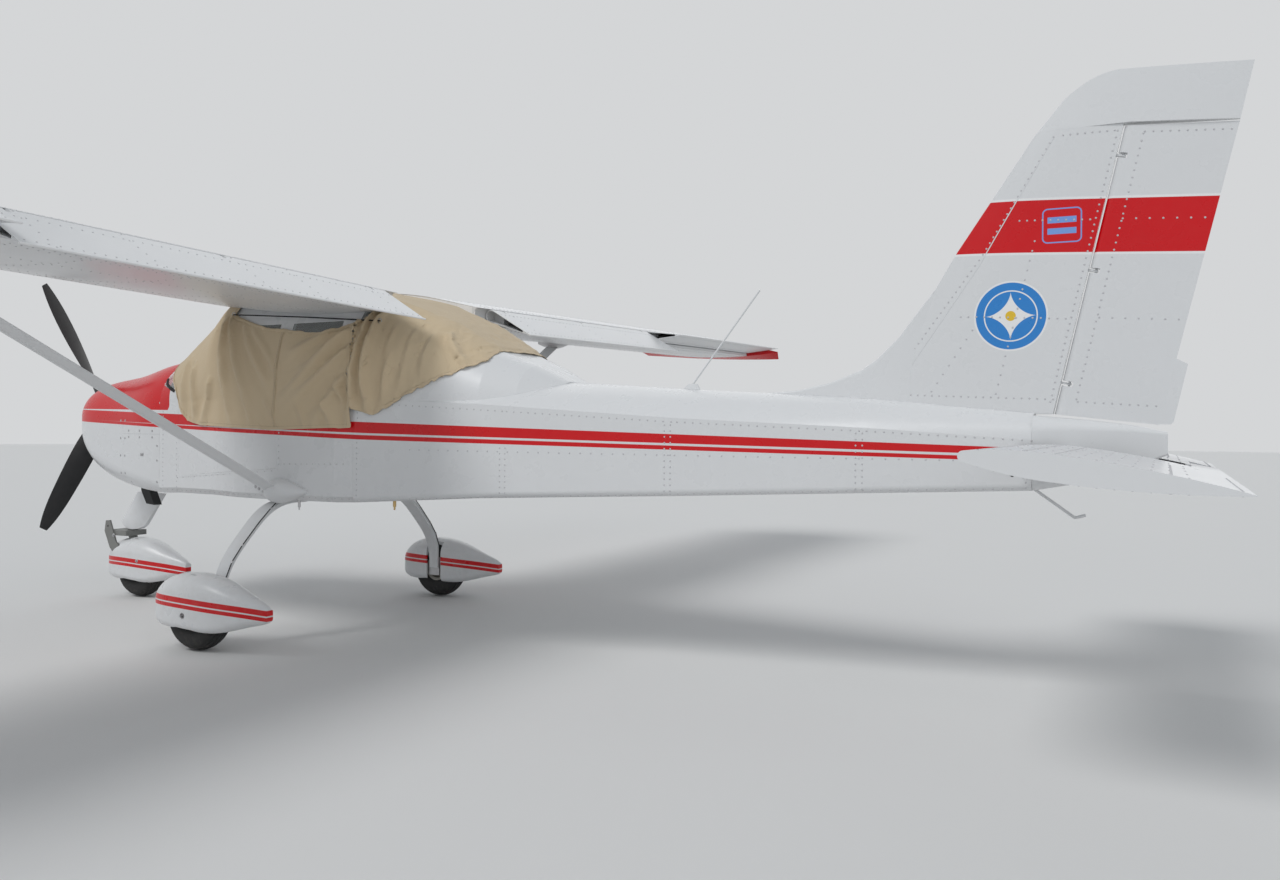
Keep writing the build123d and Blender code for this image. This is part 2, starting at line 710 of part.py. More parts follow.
def hinge_at(height):
    return HINGE_LOW[0] + hinge_lean * (height - HINGE_LOW[1])


def nose_at(height):
    share = (height - HINGE_LOW[1]) / (HINGE_HIGH[1] - HINGE_LOW[1])
    return RUDDER_NOSE_LOW + share * (RUDDER_NOSE_HIGH - RUDDER_NOSE_LOW)


def fin_level(height, front, half_crest, wall=0):
    rear = hinge_at(height) - nose_at(height) - CLEAR
    crest = front + 0.45 * (rear - front)
    return fin_ring(height, front + wall * 2, crest, rear - wall, 12 - wall, half_crest - wall,
                    nose_at(height) - wall)


FIN_LEVELS = ((1130, 4790, 40), (1809, 5193, 33), (2262.5, 5497, 26))
fin = skinned([fin_level(*row) for row in FIN_LEVELS], True)
fin_hollow = skinned([fin_level(*row, TAIL_WALL) for row in FIN_LEVELS], True)
fin = fin - fin_hollow - fuselage_outside
fin -= box((5000, -200, 1000), (6000, 200, 1142))
fin = max(fin.solids(), key=lambda solid: solid.volume)
fin_envelope = skinned([fin_level(*row) for row in FIN_LEVELS], True)

# Dorsal fillet ahead of the fin
DORSAL_FOOT = 1150
DORSAL_WALL = 4
DORSAL_RINGS = (
    # station, half width at the top, top
    (4305, 5, 1232), (4514, 9, 1247), (4659, 13, 1280), (4798, 19, 1332), (4867, 22, 1379),
    (4960, 20, 1471), (5035, 16, 1571), (5100, 12, 1654),
)


def dorsal_body(rows, wall):
    rings = []
    for station, half, top in rows:
        crown = half - wall
        high = top - wall * 2
        edges = [
            Line((station, -crown - half, DORSAL_FOOT), (station, crown + half, DORSAL_FOOT)),
            Line((station, crown + half, DORSAL_FOOT), (station, crown, high - crown)),
            ThreePointArc((station, crown, high - crown), (station, 0, high), (station, -crown, high - crown)),
            Line((station, -crown, high - crown), (station, -crown - half, DORSAL_FOOT)),
        ]
        rings.append(Wire(edges))
    return skinned(rings, True)


dorsal = dorsal_body(DORSAL_RINGS, 0) - dorsal_body(DORSAL_RINGS[3:], DORSAL_WALL)
dorsal = dorsal - fuselage_outside - fin_envelope
dorsal = max(dorsal.solids(), key=lambda solid: solid.volume)
write("dorsal_fillet", dorsal)

# Rudder between its slanted ends, with a round nose on the hinge line
RUDDER_TAIL_LOW = (5945, 1100)
RUDDER_TAIL_HIGH = (6206, 2227)
tail_lean = (RUDDER_TAIL_HIGH[0] - RUDDER_TAIL_LOW[0]) / (RUDDER_TAIL_HIGH[1] - RUDDER_TAIL_LOW[1])


def rudder_level(height, wall=0):
    x = hinge_at(height)
    nose = nose_at(height)
    tail = RUDDER_TAIL_LOW[0] + tail_lean * (height - RUDDER_TAIL_LOW[1])
    section = control_section(x, 0, nose, tail, 0)
    if wall:
        section = offset(section, amount=-wall)
    return (Pos(0, 0, height) * section).wire()


rudder_outline = ((HINGE_LOW[0] - 60, 1145), RUDDER_TAIL_LOW, RUDDER_TAIL_HIGH,
                  (HINGE_HIGH[0] - 60, HINGE_HIGH[1] - 6))
rudder_axis = Vector(HINGE_HIGH[0] - HINGE_LOW[0], 0, HINGE_HIGH[1] - HINGE_LOW[1]).normalized()
rudder_aft = Vector(rudder_axis.Z, 0, -rudder_axis.X)
hinge_heights = (1260, 1700, 2140)
hinge_points = [(hinge_at(height), 0, height) for height in hinge_heights]
rudder_fittings, rudder_pockets = hinge_fittings(
    hinge_points, rudder_axis, rudder_aft, RUDDER_NOSE_LOW + CLEAR + 2, 18, PIN_RADIUS + 4 + CLEAR)
rudder_hollow = skinned([rudder_level(1070, SURFACE_WALL), rudder_level(2300, SURFACE_WALL)], True)
for height in hinge_heights:
    plane = Plane(origin=(hinge_at(height), 0, height), x_dir=rudder_aft, z_dir=rudder_axis)
    rudder_hollow -= plane * Box(80, 80, 64)
rudder = skinned([rudder_level(1080), rudder_level(2290)], True) & side_cut(rudder_outline, 200)
rudder -= rudder_hollow
for pocket in rudder_pockets:
    rudder -= pocket
write("rudder", rudder)
rudder_hinges = [max((fitting - fin).solids(), key=lambda solid: solid.center().X)
                 for fitting in rudder_fittings]
write("rudder_hinges", *rudder_hinges)
write("fin", fin)

# Fixed tab on the rudder's trailing edge
tab_points = ((6003, 1352), (6042, 1330), (5995, 1112), (5986, 1102), (5945.6, 1102))
rudder_tab = across(profile(tab_points), -1.5, 1.5) - rudder
write("rudder_tab", rudder_tab)

# Fin cap over the fin and the rudder, with a curved leading edge
cap_outline = make_face([
    ThreePointArc((5500, 2263), (5590, 2374), (5690, 2446)),
    ThreePointArc((5690, 2446), (5745, 2467), (5801, 2475)),
    Line((5801, 2475), (FIN_TIP, 2445)),
    Line((FIN_TIP, 2445), (6207, 2234)),
    Line((6207, 2234), (5835, 2263)),
    Line((5835, 2263), (5500, 2263)),
])
CAP_LEVELS = (
    # height, front, crest, rear, nose radius, half width at the crest, half width at the rear
    (2220, 5465, 5765, 6290, 13, 30, 2.6), (2490, 5684, 5885, 6290, 5, 11, 1.5),
)
cap_block = skinned([fin_ring(*row) for row in CAP_LEVELS], True)
fin_cap = cap_block & across(cap_outline, -60, 60)
write("fin_cap", fin_cap)


# Stabilator: two halves on one tube, with the tab at the middle of the trailing edge
def stab_section(wall=0):
    crest = -STAB_NOSE + 0.32 * (STAB_NOSE + STAB_TAIL)
    nose = 16
    ahead = -STAB_NOSE + nose
    half = STAB_HALF_THICKNESS
    face = make_face([
        ThreePointArc((ahead, nose), (-STAB_NOSE, 0), (ahead, -nose)),
        TangentArc((crest, half), (ahead, nose), tangent=(-1, 0)),
        TangentArc((crest, -half), (ahead, -nose), tangent=(-1, 0)),
        TangentArc((crest, half), (STAB_TAIL, 1.5), tangent=(1, 0)),
        TangentArc((crest, -half), (STAB_TAIL, -1.5), tangent=(1, 0)),
        Line((STAB_TAIL, 1.5), (STAB_TAIL, -1.5)),
    ])
    return offset(face, amount=-wall) if wall else face


tab_section = control_section(TAB_HINGE, 0, TAB_NOSE, STAB_TAIL, 0)
tab_cove = Pos(TAB_HINGE, 0) * Circle(TAB_NOSE + CLEAR)
tab_gap = across(tab_cove, STAB_ROOT - 1, TAB_HALF_SPAN + CLEAR)
tab_gap += box((TAB_HINGE - 4, STAB_ROOT - 1, -80), (STAB_TAIL + 20, TAB_HALF_SPAN + CLEAR, 80))
TUBE_SEAT = 20
half_stab = across(stab_section(), STAB_ROOT, STAB_SPAN)
hollow = across(stab_section(TAIL_WALL), STAB_ROOT - 1, STAB_SPAN - TAIL_WALL)
hollow -= box((-60, 0, -100), (60, STAB_ROOT + TUBE_SEAT, 100))
front_hollow = hollow & box((-400, 0, -100), (TAB_HINGE - TAB_NOSE - CLEAR - 8, STAB_SPAN, 100))
outer_hollow = hollow & box((-400, TAB_HALF_SPAN + CLEAR + 6, -100), (600, STAB_SPAN, 100))
half_stab = half_stab - (front_hollow + outer_hollow) - tab_gap
tab_fittings, tab_pockets = hinge_fittings(
    [(TAB_HINGE, y, 0) for y in (220, 540)], (0, 1, 0), (1, 0, 0), TAB_NOSE + CLEAR + 6, 12,
    PIN_RADIUS + 4 + CLEAR)
for fitting in tab_fittings:
    half_stab += fitting
tube = rod((0, -STAB_SPAN * 0.6, 0), (0, STAB_SPAN * 0.6, 0), TORQUE_TUBE_RADIUS)
stabilator = half_stab + other_side(half_stab) + tube
tab = across(tab_section, -TAB_HALF_SPAN, TAB_HALF_SPAN)
for pocket in tab_pockets:
    tab -= pocket
    tab -= other_side(pocket)
at_pivot = Pos(STAB_PIVOT[0], 0, STAB_PIVOT[1]) * Rot(0, STAB_REST, 0)
write("stabilator", at_pivot * stabilator)
write("stabilator_tab", at_pivot * tab)

# Tail skid, a bent rod
skid_route = FilletPolyline((5492, 0, 846), (5651, 0, 732), (5690, 0, 744), radius=12)
skid_face = Plane(origin=skid_route @ 0, z_dir=skid_route % 0) * Circle(6)
tail_skid = sweep(skid_face, path=skid_route) - fuselage_outside - tail_fairing
write("tail_skid", max(tail_skid.solids(), key=lambda solid: solid.volume))

# Whip antenna on its faired base
antenna_foot = Vector(3988, 0, 1262)
antenna_tip = Vector(4330, 0, 1702)
whip = rod(antenna_foot - (antenna_tip - antenna_foot) * 0.06, antenna_tip, 4)
base = skinned([
    (Pos(3985, 0, 1230) * Ellipse(70, 20)).wire(),
    (Pos(4003, 0, 1282) * Ellipse(24, 8)).wire(),
], True)
antenna = (whip + base) - fuselage_outside
write("antenna", max(antenna.solids(), key=lambda solid: solid.volume))

# Main legs: curved leaf springs, by points across the body, and width
LEG_POINTS = (
    # y, z, width
    (290, 687.6, 96), (487, 668, 92), (621, 585, 86), (726, 479, 80), (785, 406, 76), (824, 320, 70),
    (836, 190, 64),
)


def leg_rings():
    rings = []
    last = len(LEG_POINTS) - 1
    for index, (y, z, width) in enumerate(LEG_POINTS):
        before = LEG_POINTS[max(index - 1, 0)]
        after = LEG_POINTS[min(index + 1, last)]
        along = Vector(0, after[0] - before[0], after[1] - before[1])
        if index in (0, last):
            along = Vector(0, 1, 0) if index == 0 else Vector(0, 0, -1)
        plane = Plane(origin=(LEG_STATION, y, z), x_dir=(1, 0, 0), z_dir=along)
        rings.append((plane * Rectangle(width, LEG_THICKNESS)).wire())
    return rings


main_leg = skinned(leg_rings(), False)
leg_foot = LEG_POINTS[-1][0]


# Wheel pieces, made about the Y axis at the hub
def wheel_solids():
    half = TYRE_WIDTH / 2
    rim_half = RIM_WIDTH / 2
    tyre_face = make_face([
        Line((RIM_RADIUS, -rim_half * 0.84), (RIM_RADIUS, rim_half * 0.84)),
        ThreePointArc((RIM_RADIUS, rim_half * 0.84), (WALL_RADIUS, half), (TREAD_RADIUS, TREAD_HALF)),
        ThreePointArc((TREAD_RADIUS, TREAD_HALF), (TYRE_RADIUS, 0), (TREAD_RADIUS, -TREAD_HALF)),
        ThreePointArc((TREAD_RADIUS, -TREAD_HALF), (WALL_RADIUS, -half), (RIM_RADIUS, -rim_half * 0.84)),
    ])
    hub_bore = AXLE_RADIUS + RUNNING
    rim_points = (
        (hub_bore, -48), (30, -48), (34, -10), (56, -8), (60, -rim_half * 0.86), (76, -rim_half),
        (78, -rim_half * 0.86), (RIM_RADIUS, -rim_half * 0.84), (RIM_RADIUS, rim_half * 0.84),
        (78, rim_half * 0.86), (76, rim_half), (60, rim_half * 0.86), (56, 8), (34, 10), (30, 48),
        (hub_bore, 48),
    )
    lathe = Plane(origin=(0, 0, 0), x_dir=(1, 0, 0), z_dir=(0, 0, 1))
    rim_face = make_face(Polyline(*rim_points, close=True))
    rim = revolve(lathe * rim_face, axis=Axis.Y)
    tyre = revolve(lathe * tyre_face, axis=Axis.Y)
    turns = [math.radians(60 * i) for i in range(6)]
    holes = [Pos(HOLE_CIRCLE * math.cos(a), 0, HOLE_CIRCLE * math.sin(a)) * Rot(90, 0, 0) * Cylinder(7, 60)
             for a in turns]
    for hole in holes:
        rim -= hole
    return tyre - rim, rim


tyre, rim = wheel_solids()

# Spat: aft of the axle, half width, bottom, top, lower corner, upper corner
SPAT_RINGS = (
    (-270, 24, 140, 240, 22, 22),
    (-225, 68, 116, 306, 40, 62),
    (-140, 94, 108, 352, 40, 84),
    (-20, 103, 106, 369, 36, 92),
    (130, 97, 100, 355, 36, 88),
    (290, 66, 126, 302, 40, 60),
    (400, 36, 152, 262, 30, 34),
    (455, 20, 170, 232, 16, 16),
)


def spat_body(tail_scale):
    rings = []
    for x, half, low, high, r_low, r_high in SPAT_RINGS:
        place = x * tail_scale if x > 0 else x
        rings.append(round_ring(place, half, low, high, r_low, r_high))
    return skinned(rings, False)


# The room for the wheel: radius and half width, widest at the hub, and open below
WELL_HALF = 92
MOUTH_HALF = TYRE_WIDTH / 2 + 11
WELL_OUTLINE = ((0, WELL_HALF), (80, WELL_HALF), (138, MOUTH_HALF), (TYRE_RADIUS + 8, 44))
well_points = list(WELL_OUTLINE) + [(radius, -half) for radius, half in reversed(WELL_OUTLINE)]
well = Pos(0, 0, AXLE_HEIGHT) * revolve(make_face(Polyline(*well_points, close=True)), axis=Axis.Y)
well += box((-138, -MOUTH_HALF, 0), (138, MOUTH_HALF, AXLE_HEIGHT))

main_spat = spat_body(1) - well
leg_slot = box((LEG_STATION - MAIN_STATION - 56, -140, 60), (LEG_STATION - MAIN_STATION + 52, -62, 400))
main_spat -= leg_slot
main_spat = max(main_spat.solids(), key=lambda solid: solid.volume)

# Main axle with its end block, the brake caliper and the cap that holds the spat
axle_inner = leg_foot - MAIN_TRACK + LEG_THICKNESS / 2 + SEAT
flange_back = LEG_STATION - MAIN_STATION + 30
main_axle = rod((0, axle_inner, AXLE_HEIGHT), (0, WELL_HALF - SEAT, AXLE_HEIGHT), AXLE_RADIUS)
BLOCK_THICKNESS = 8
CALIPER_THICKNESS = 14
CALIPER_REAR = 68
main_axle += box((-34, axle_inner, AXLE_HEIGHT - 38),
                 (flange_back, axle_inner + BLOCK_THICKNESS, AXLE_HEIGHT + 40))
main_axle += box((20, axle_inner, AXLE_HEIGHT + 30),
                 (CALIPER_REAR, axle_inner + CALIPER_THICKNESS, AXLE_HEIGHT + 72))

for side, name in SIDES:
    place = Pos(MAIN_STATION, MAIN_TRACK, 0)
    pieces = {
        "main_leg_": main_leg,
        "main_axle_": place * main_axle,
        "spat_": place * main_spat,
        "tyre_": place * (Pos(0, 0, AXLE_HEIGHT) * tyre),
        "rim_": place * (Pos(0, 0, AXLE_HEIGHT) * rim),
    }
    for stem, shape in pieces.items():
        write(stem + name, shape if side > 0 else other_side(shape))

# Nose gear: raked tube, its bearing, fairing, fork, spat and wheel
CROWN_LOW = 379
CROWN_HIGH = 411
leg_tube = rod(on_leg(CROWN_LOW), on_leg(850), LEG_TUBE_RADIUS)
leg_tube -= box((0, -100, 300), (500, 100, CROWN_HIGH + SEAT))
bearing_low = on_leg(772)
bearing_high = on_leg(838)
bearing = rod(bearing_low, bearing_high, LEG_TUBE_RADIUS + 14)
beam = box((bearing_low[0], -26, 788), (firewall_front, 26, 828))
bearing = bearing + beam - rod(on_leg(700), on_leg(950), LEG_TUBE_RADIUS + RUNNING)
write("nose_gear_mount", max(bearing.solids(), key=lambda solid: solid.volume))

fairing_outline = make_face([
    Line((186, 655), (432, 650)),
    Line((432, 650), (268, 452)),
    ThreePointArc((268, 452), (150, 420), (46, 470)),
    Line((46, 470), (186, 655)),
])


def fairing_level(height):
    x = on_leg(height)[0]
    return fin_ring(height, x - 125, x - 15, x + 122, 20, 35, 8)


leg_fairing = skinned([fairing_level(400), fairing_level(670)], True)
leg_fairing &= across(fairing_outline, -60, 60)
leg_fairing -= rod(on_leg(300), on_leg(800), LEG_TUBE_RADIUS + SEAT)
write("nose_leg_fairing", leg_fairing)
write("nose_leg", leg_tube)

fork_out = FORK_INSIDE + FORK_PLATE
plate_outline = profile((
    (-26, 404), (-14, 470), (24, 474), (80, 340), (248, 208), (258, 178), (240, 150), (205, 148),
    (24, 300),
))
TOW_BORE = (6, 436)
fork_plates = across(plate_outline, FORK_INSIDE, fork_out)
crown = box((-14, -FORK_INSIDE - 1, CROWN_LOW), (166, FORK_INSIDE + 1, CROWN_HIGH))
fork = fork_plates + other_side(fork_plates) + crown
fork += rod((NOSE_STATION, -WELL_HALF + SEAT, AXLE_HEIGHT), (NOSE_STATION, WELL_HALF - SEAT, AXLE_HEIGHT),
            AXLE_RADIUS)
fork -= rod((TOW_BORE[0], -120, TOW_BORE[1]), (TOW_BORE[0], 120, TOW_BORE[1]), 7)
write("nose_fork", fork)

NOSE_SPAT_TAIL = 0.91
nose_place = Pos(NOSE_STATION, 0, 0)
nose_spat = nose_place * (spat_body(NOSE_SPAT_TAIL) - well)
plate_room = across(offset(plate_outline, amount=1), FORK_INSIDE - 1, fork_out + 1)
plate_room += box((-60, FORK_INSIDE - 5, 255), (120, fork_out + 5, 420))
nose_spat = nose_spat - plate_room - other_side(plate_room)
nose_spat = max(nose_spat.solids(), key=lambda solid: solid.volume)
write("spat_nose", nose_spat)
write("tyre_nose", nose_place * (Pos(0, 0, AXLE_HEIGHT) * tyre))
write("rim_nose", nose_place * (Pos(0, 0, AXLE_HEIGHT) * rim))

# Canvas cover, lying on the windscreen, roof, doors and rear window, with slits for the wings
COVER_THICKNESS = 5
COVER_OUTLINE = (
    (1004, 1330), (1120, 1250), (1165, 1085), (2405, 1085), (2425, 1125), (2674, 1223), (3060, 1395),
    (3060, 2000), (1004, 2000),
)
cover = cabin_body(SEAT + COVER_THICKNESS) - cabin_body(SEAT)
cover += dome_body(SEAT + COVER_THICKNESS) - dome_body(SEAT)


def cover_joint(grow):
    """A short ring over the seam between cabin and dome."""
    section = CABIN_RINGS[-1][1:]
    lap = 0.4
    return skinned([cabin_ring(x, *section, grow) for x in (CABIN_REAR - lap, CABIN_REAR + SEAM + lap)], True)


cover += cover_joint(SEAT + COVER_THICKNESS) - cover_joint(SEAT)
cover &= side_cut(COVER_OUTLINE)
wing_slit = on_wing * across(offset(wing_foil, amount=CLEAR), WING_ROOT - 2, 900)
cover = cover - wing_slit - other_side(wing_slit) - fuselage_outside
write("canopy_cover", max(cover.solids(), key=lambda solid: solid.volume))
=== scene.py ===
import math

import bmesh
import bpy
from mathutils import Matrix, Vector, noise
from mathutils.bvhtree import BVHTree


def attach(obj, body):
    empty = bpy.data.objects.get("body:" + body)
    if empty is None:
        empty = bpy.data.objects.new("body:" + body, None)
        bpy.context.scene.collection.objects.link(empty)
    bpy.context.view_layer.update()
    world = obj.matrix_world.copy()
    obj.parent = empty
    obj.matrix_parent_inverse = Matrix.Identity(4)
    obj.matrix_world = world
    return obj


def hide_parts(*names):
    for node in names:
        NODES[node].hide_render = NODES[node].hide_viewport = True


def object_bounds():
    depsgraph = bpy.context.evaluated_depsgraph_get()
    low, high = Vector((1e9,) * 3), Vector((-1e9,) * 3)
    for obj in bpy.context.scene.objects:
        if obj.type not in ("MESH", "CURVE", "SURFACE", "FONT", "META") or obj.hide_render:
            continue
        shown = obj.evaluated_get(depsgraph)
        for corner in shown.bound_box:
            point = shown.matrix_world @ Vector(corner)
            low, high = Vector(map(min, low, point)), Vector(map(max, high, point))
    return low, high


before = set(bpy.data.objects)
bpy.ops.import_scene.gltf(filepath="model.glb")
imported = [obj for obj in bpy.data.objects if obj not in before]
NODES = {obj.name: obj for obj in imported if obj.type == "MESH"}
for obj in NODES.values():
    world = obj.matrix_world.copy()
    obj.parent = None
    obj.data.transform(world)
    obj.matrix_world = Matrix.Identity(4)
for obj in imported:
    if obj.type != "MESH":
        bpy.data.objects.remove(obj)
CAD_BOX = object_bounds()

# The row frame's origin lies this far aft of the cowl's nose face.
ORIGIN = 3.031

# A distance that is clear of the aircraft's skin on every side of its body
OUTSIDE = 3.0


def at(station, side, height):
    """A point from its station, its distance to starboard and its height."""
    return Vector((station - ORIGIN, side, height))


# Materials

# How far a painted edge fades, in metres
EDGE = 0.0015


class Value:
    """A number that changes over a surface. Arithmetic on it adds Math nodes."""

    def __init__(self, finish, socket):
        self.finish = finish
        self.socket = socket

    def math(self, operation, *others):
        numbers = dict(enumerate((self, *others)))
        return self.finish.node("ShaderNodeMath", {"operation": operation}, numbers)

    def __add__(self, other):
        return self.math("ADD", other)

    def __sub__(self, other):
        return self.math("SUBTRACT", other)

    def __rsub__(self, other):
        return (self * -1.0) + other

    def __mul__(self, other):
        return self.math("MULTIPLY", other)

    def __pow__(self, other):
        return self.math("POWER", other)

    def __abs__(self):
        return self.math("ABSOLUTE")

    def smaller(self, other):
        return self.math("MINIMUM", other)

    def larger(self, other):
        return self.math("MAXIMUM", other)

    def wave(self):
        return self.math("SINE")

    def above(self, edge, softness=EDGE):
        """1 where the value is over the edge and 0 under it."""
        lifted = (self - edge) * (1.0 / softness) + 0.5
        return lifted.smaller(1.0).larger(0.0)

    def between(self, low, high, softness=EDGE):
        return self.above(low, softness) * (1.0 - self.above(high, softness))


class Finish:
    """One material, with its place on the object as x (station), y and z in metres."""

    def __init__(self, name):
        self.material = bpy.data.materials.new(name)
        self.material.use_nodes = True
        self.tree = self.material.node_tree
        self.tree.nodes.clear()
        self.place = self.node("ShaderNodeTexCoord", {}, {}, "Object").socket
        split = self.node("ShaderNodeSeparateXYZ", {}, {"Vector": self.place}, "X")
        parts = split.socket.node.outputs
        self.x = Value(self, parts["X"]) + ORIGIN
        self.y = Value(self, parts["Y"])
        self.z = Value(self, parts["Z"])

    def node(self, kind, settings=None, inputs=None, output=0):
        made = self.tree.nodes.new(kind)
        for key, value in (settings or {}).items():
            setattr(made, key, value)
        for key, value in (inputs or {}).items():
            self.fill(made.inputs[key], value)
        return Value(self, made.outputs[output])

    def fill(self, socket, value):
        if isinstance(value, Value):
            value = value.socket
        if isinstance(value, bpy.types.NodeSocket):
            self.tree.links.new(value, socket)
        elif hasattr(value, "__len__") and socket.type == "RGBA":
            socket.default_value = (*value, 1.0)
        else:
            socket.default_value = value

    def noise(self, scale, detail=3.0, vector=None):
        inputs = {"Scale": scale, "Detail": detail, "Vector": vector or self.place}
        return self.node("ShaderNodeTexNoise", {}, inputs, "Fac")

    def stretched(self, scale, vector=None):
        inputs = {"Vector": vector or self.place, "Scale": scale}
        return self.node("ShaderNodeMapping", {}, inputs).socket

    def mix(self, mask, under, over):
        settings = {"data_type": "RGBA", "clamp_factor": True}
        inputs = {"Factor": mask, 6: under, 7: over}
        return self.node("ShaderNodeMix", settings, inputs, 2)

    def bump(self, height, strength, distance):
        inputs = {"Height": height, "Strength": strength, "Distance": distance}
        return self.node("ShaderNodeBump", {}, inputs)

    def surface(self, colour, roughness, normal=None, **constants):
        inputs = {"Base Color": colour, "Roughness": roughness}
        if normal is not None:
            inputs["Normal"] = normal
        for key, value in constants.items():
            inputs[key.replace("_", " ")] = value
        shader = self.node("ShaderNodeBsdfPrincipled", {}, inputs)
        output = self.tree.nodes.new("ShaderNodeOutputMaterial")
        self.tree.links.new(shader.socket, output.inputs["Surface"])
        return self.material


WHITE = (0.735, 0.742, 0.750)
PURE_WHITE = (0.86, 0.86, 0.86)
RED = (0.660, 0.001, 0.006)
DUST = (0.36, 0.31, 0.24)
CANVAS = (0.660, 0.530, 0.355)
CANVAS_SHADE = (0.520, 0.405, 0.260)
CANVAS_SLUB = (0.72, 0.59, 0.41)
BLUE = (0.030, 0.230, 0.620)
PALE_BLUE = (0.20, 0.36, 0.75)
YELLOW = (0.780, 0.520, 0.040)

STRIPE_END = 5.500
PIN_LINE = 0.009


def stripe(value, top, wide_low, thin_top, thin_low):
    """A wide red stripe over a thin one, between four edges."""
    return value.between(wide_low, top).larger(value.between(thin_low, thin_top))


def fuselage_red(f):
    """The long stripe from the cowl to the stabilator and the red upper cowl."""
    x, z = f.x, f.z
    top = 1.170 - x * 0.0298
    wide_low = (1.112 - x * 0.028).larger(1.0947 - x * 0.0211)
    thin_top = (1.1146 - x * 0.0333).larger(1.0847 - x * 0.0211)
    thin_low = (1.0996 - x * 0.0362).larger(1.0573 - x * 0.0189)
    line = stripe(z, top, wide_low, thin_top, thin_low) * (1.0 - x.above(STRIPE_END))
    edge = 1.172 - x * 0.0128
    corner = 1.085 - (0.03 - (z - edge)).larger(0.0) ** 2.0 * 18.0
    hood = z.above(edge) * (1.0 - x.above(corner))
    return line.larger(hood)


def fin_red(f):
    """The band across the fin and rudder, and the white pin lines along it."""
    top = 2.303 - f.x * 0.0565
    low = 2.0734 - f.x * 0.0527
    band = f.z.between(low, top)
    pins = f.z.between(low - PIN_LINE, low).larger(f.z.between(top, top + PIN_LINE))
    return band, pins


def spat_red(f, nose, height, droop):
    """The two stripes of a spat, which droop toward its tail."""
    run = f.x - nose
    top = height - run * 0.0146 - run * run * droop
    return stripe(f.z, top, top - 0.0255, top - 0.032, top - 0.0505)


def painted(name, red=None, base=WHITE, badge=None, gloss=0.27, waves=0.5):
    """Sprayed paint over riveted sheet or moulded shell."""
    f = Finish(name)
    patches = f.noise(1.7, 4.0)
    film = f.noise(9.0, 5.0)
    colour = f.mix(patches * 0.10, base, tuple(c * 0.86 for c in base))
    if red is not None:
        result = red(f)
        band, pin = result if isinstance(result, tuple) else (result, None)
        deep = f.mix(patches * 0.35, RED, (0.520, 0.001, 0.004))
        colour = f.mix(band, colour, deep)
        if pin is not None:
            colour = f.mix(pin, colour, PURE_WHITE)
    if badge is not None:
        colour = badge(f, colour)
    low = 1.0 - f.z.above(0.62, 0.5)
    dust = (f.noise(26.0, 6.0) - 0.42).larger(0.0) * 0.30 * (low * 0.8 + 0.12)
    colour = f.mix(dust, colour, DUST)
    roughness = film * 0.12 + (gloss - 0.05) + dust * 0.9
    skin = f.noise(3.1, 2.0, f.stretched((1.0, 1.0, 1.6))) * waves + f.noise(420.0, 1.0) * 0.004
    normal = f.bump(skin, 0.35, 0.012)
    return f.surface(
        colour, roughness, normal, Specular_IOR_Level=0.40, Coat_Weight=0.10, Coat_Roughness=0.12,
    )


ROUNDEL_AT = (5.409, 1.535)
BARS_AT = (5.598, 1.885)


def compass_badge(f, colour):
    """A roundel with a four-pointed star, and two bars in a frame on the band."""
    dx = f.x - ROUNDEL_AT[0]
    dz = f.z - ROUNDEL_AT[1]
    radius = (dx * dx + dz * dz) ** 0.5
    disc = 1.0 - radius.above(0.141)
    field = 1.0 - radius.above(0.134)
    ring = radius.between(0.098, 0.103)
    star = abs(dx) ** 0.62 + abs(dz) ** 0.62
    points = 1.0 - star.above(0.235, 0.004)
    hub = 1.0 - radius.above(0.020)
    colour = f.mix(disc, colour, PURE_WHITE)
    colour = f.mix(field, colour, BLUE)
    colour = f.mix(ring, colour, PURE_WHITE)
    colour = f.mix(points, colour, PURE_WHITE)
    colour = f.mix(hub, colour, YELLOW)
    aside = abs(f.x - BARS_AT[0])
    over = abs(f.z - BARS_AT[1])
    bx = aside - 0.052
    bz = over - 0.048
    outside = (bx.larger(0.0) ** 2.0 + bz.larger(0.0) ** 2.0) ** 0.5
    frame_line = outside.between(0.016, 0.021)
    bars = (1.0 - outside.above(0.001)) * (over - 0.022).between(-0.012, 0.012)
    return f.mix(frame_line.larger(bars), colour, PALE_BLUE)


# Turns of the weave in a metre of cloth, times two pi
WEAVE = 2600.0


def canvas():
    """Woven cotton with slubs, blotches and small creases, laid along the cloth's own map."""
    f = Finish("cotton canvas")
    where = f.node("ShaderNodeUVMap", {"uv_map": "cut"}, {}, 0).socket
    split = f.node("ShaderNodeSeparateXYZ", {}, {"Vector": where}, 0).socket.node.outputs
    warp = (Value(f, split["X"]) * WEAVE).wave()
    weft = (Value(f, split["Y"]) * WEAVE).wave()
    weave = warp * weft
    blotch = f.noise(2.2, 5.0, where)
    slub = f.noise(60.0, 4.0, f.stretched((1.0, 9.0, 1.0), where))
    colour = f.mix(blotch * 0.55, CANVAS, CANVAS_SHADE)
    colour = f.mix(slub * 0.22, colour, CANVAS_SLUB)
    creases = f.noise(11.0, 6.0, where)
    height = creases * 0.6 + weave * 0.03 + f.noise(34.0, 4.0, where) * 0.22
    normal = f.bump(height, 0.55, 0.010)
    return f.surface(colour, blotch * 0.1 + 0.80, normal, Sheen_Weight=0.18, Sheen_Roughness=0.5)


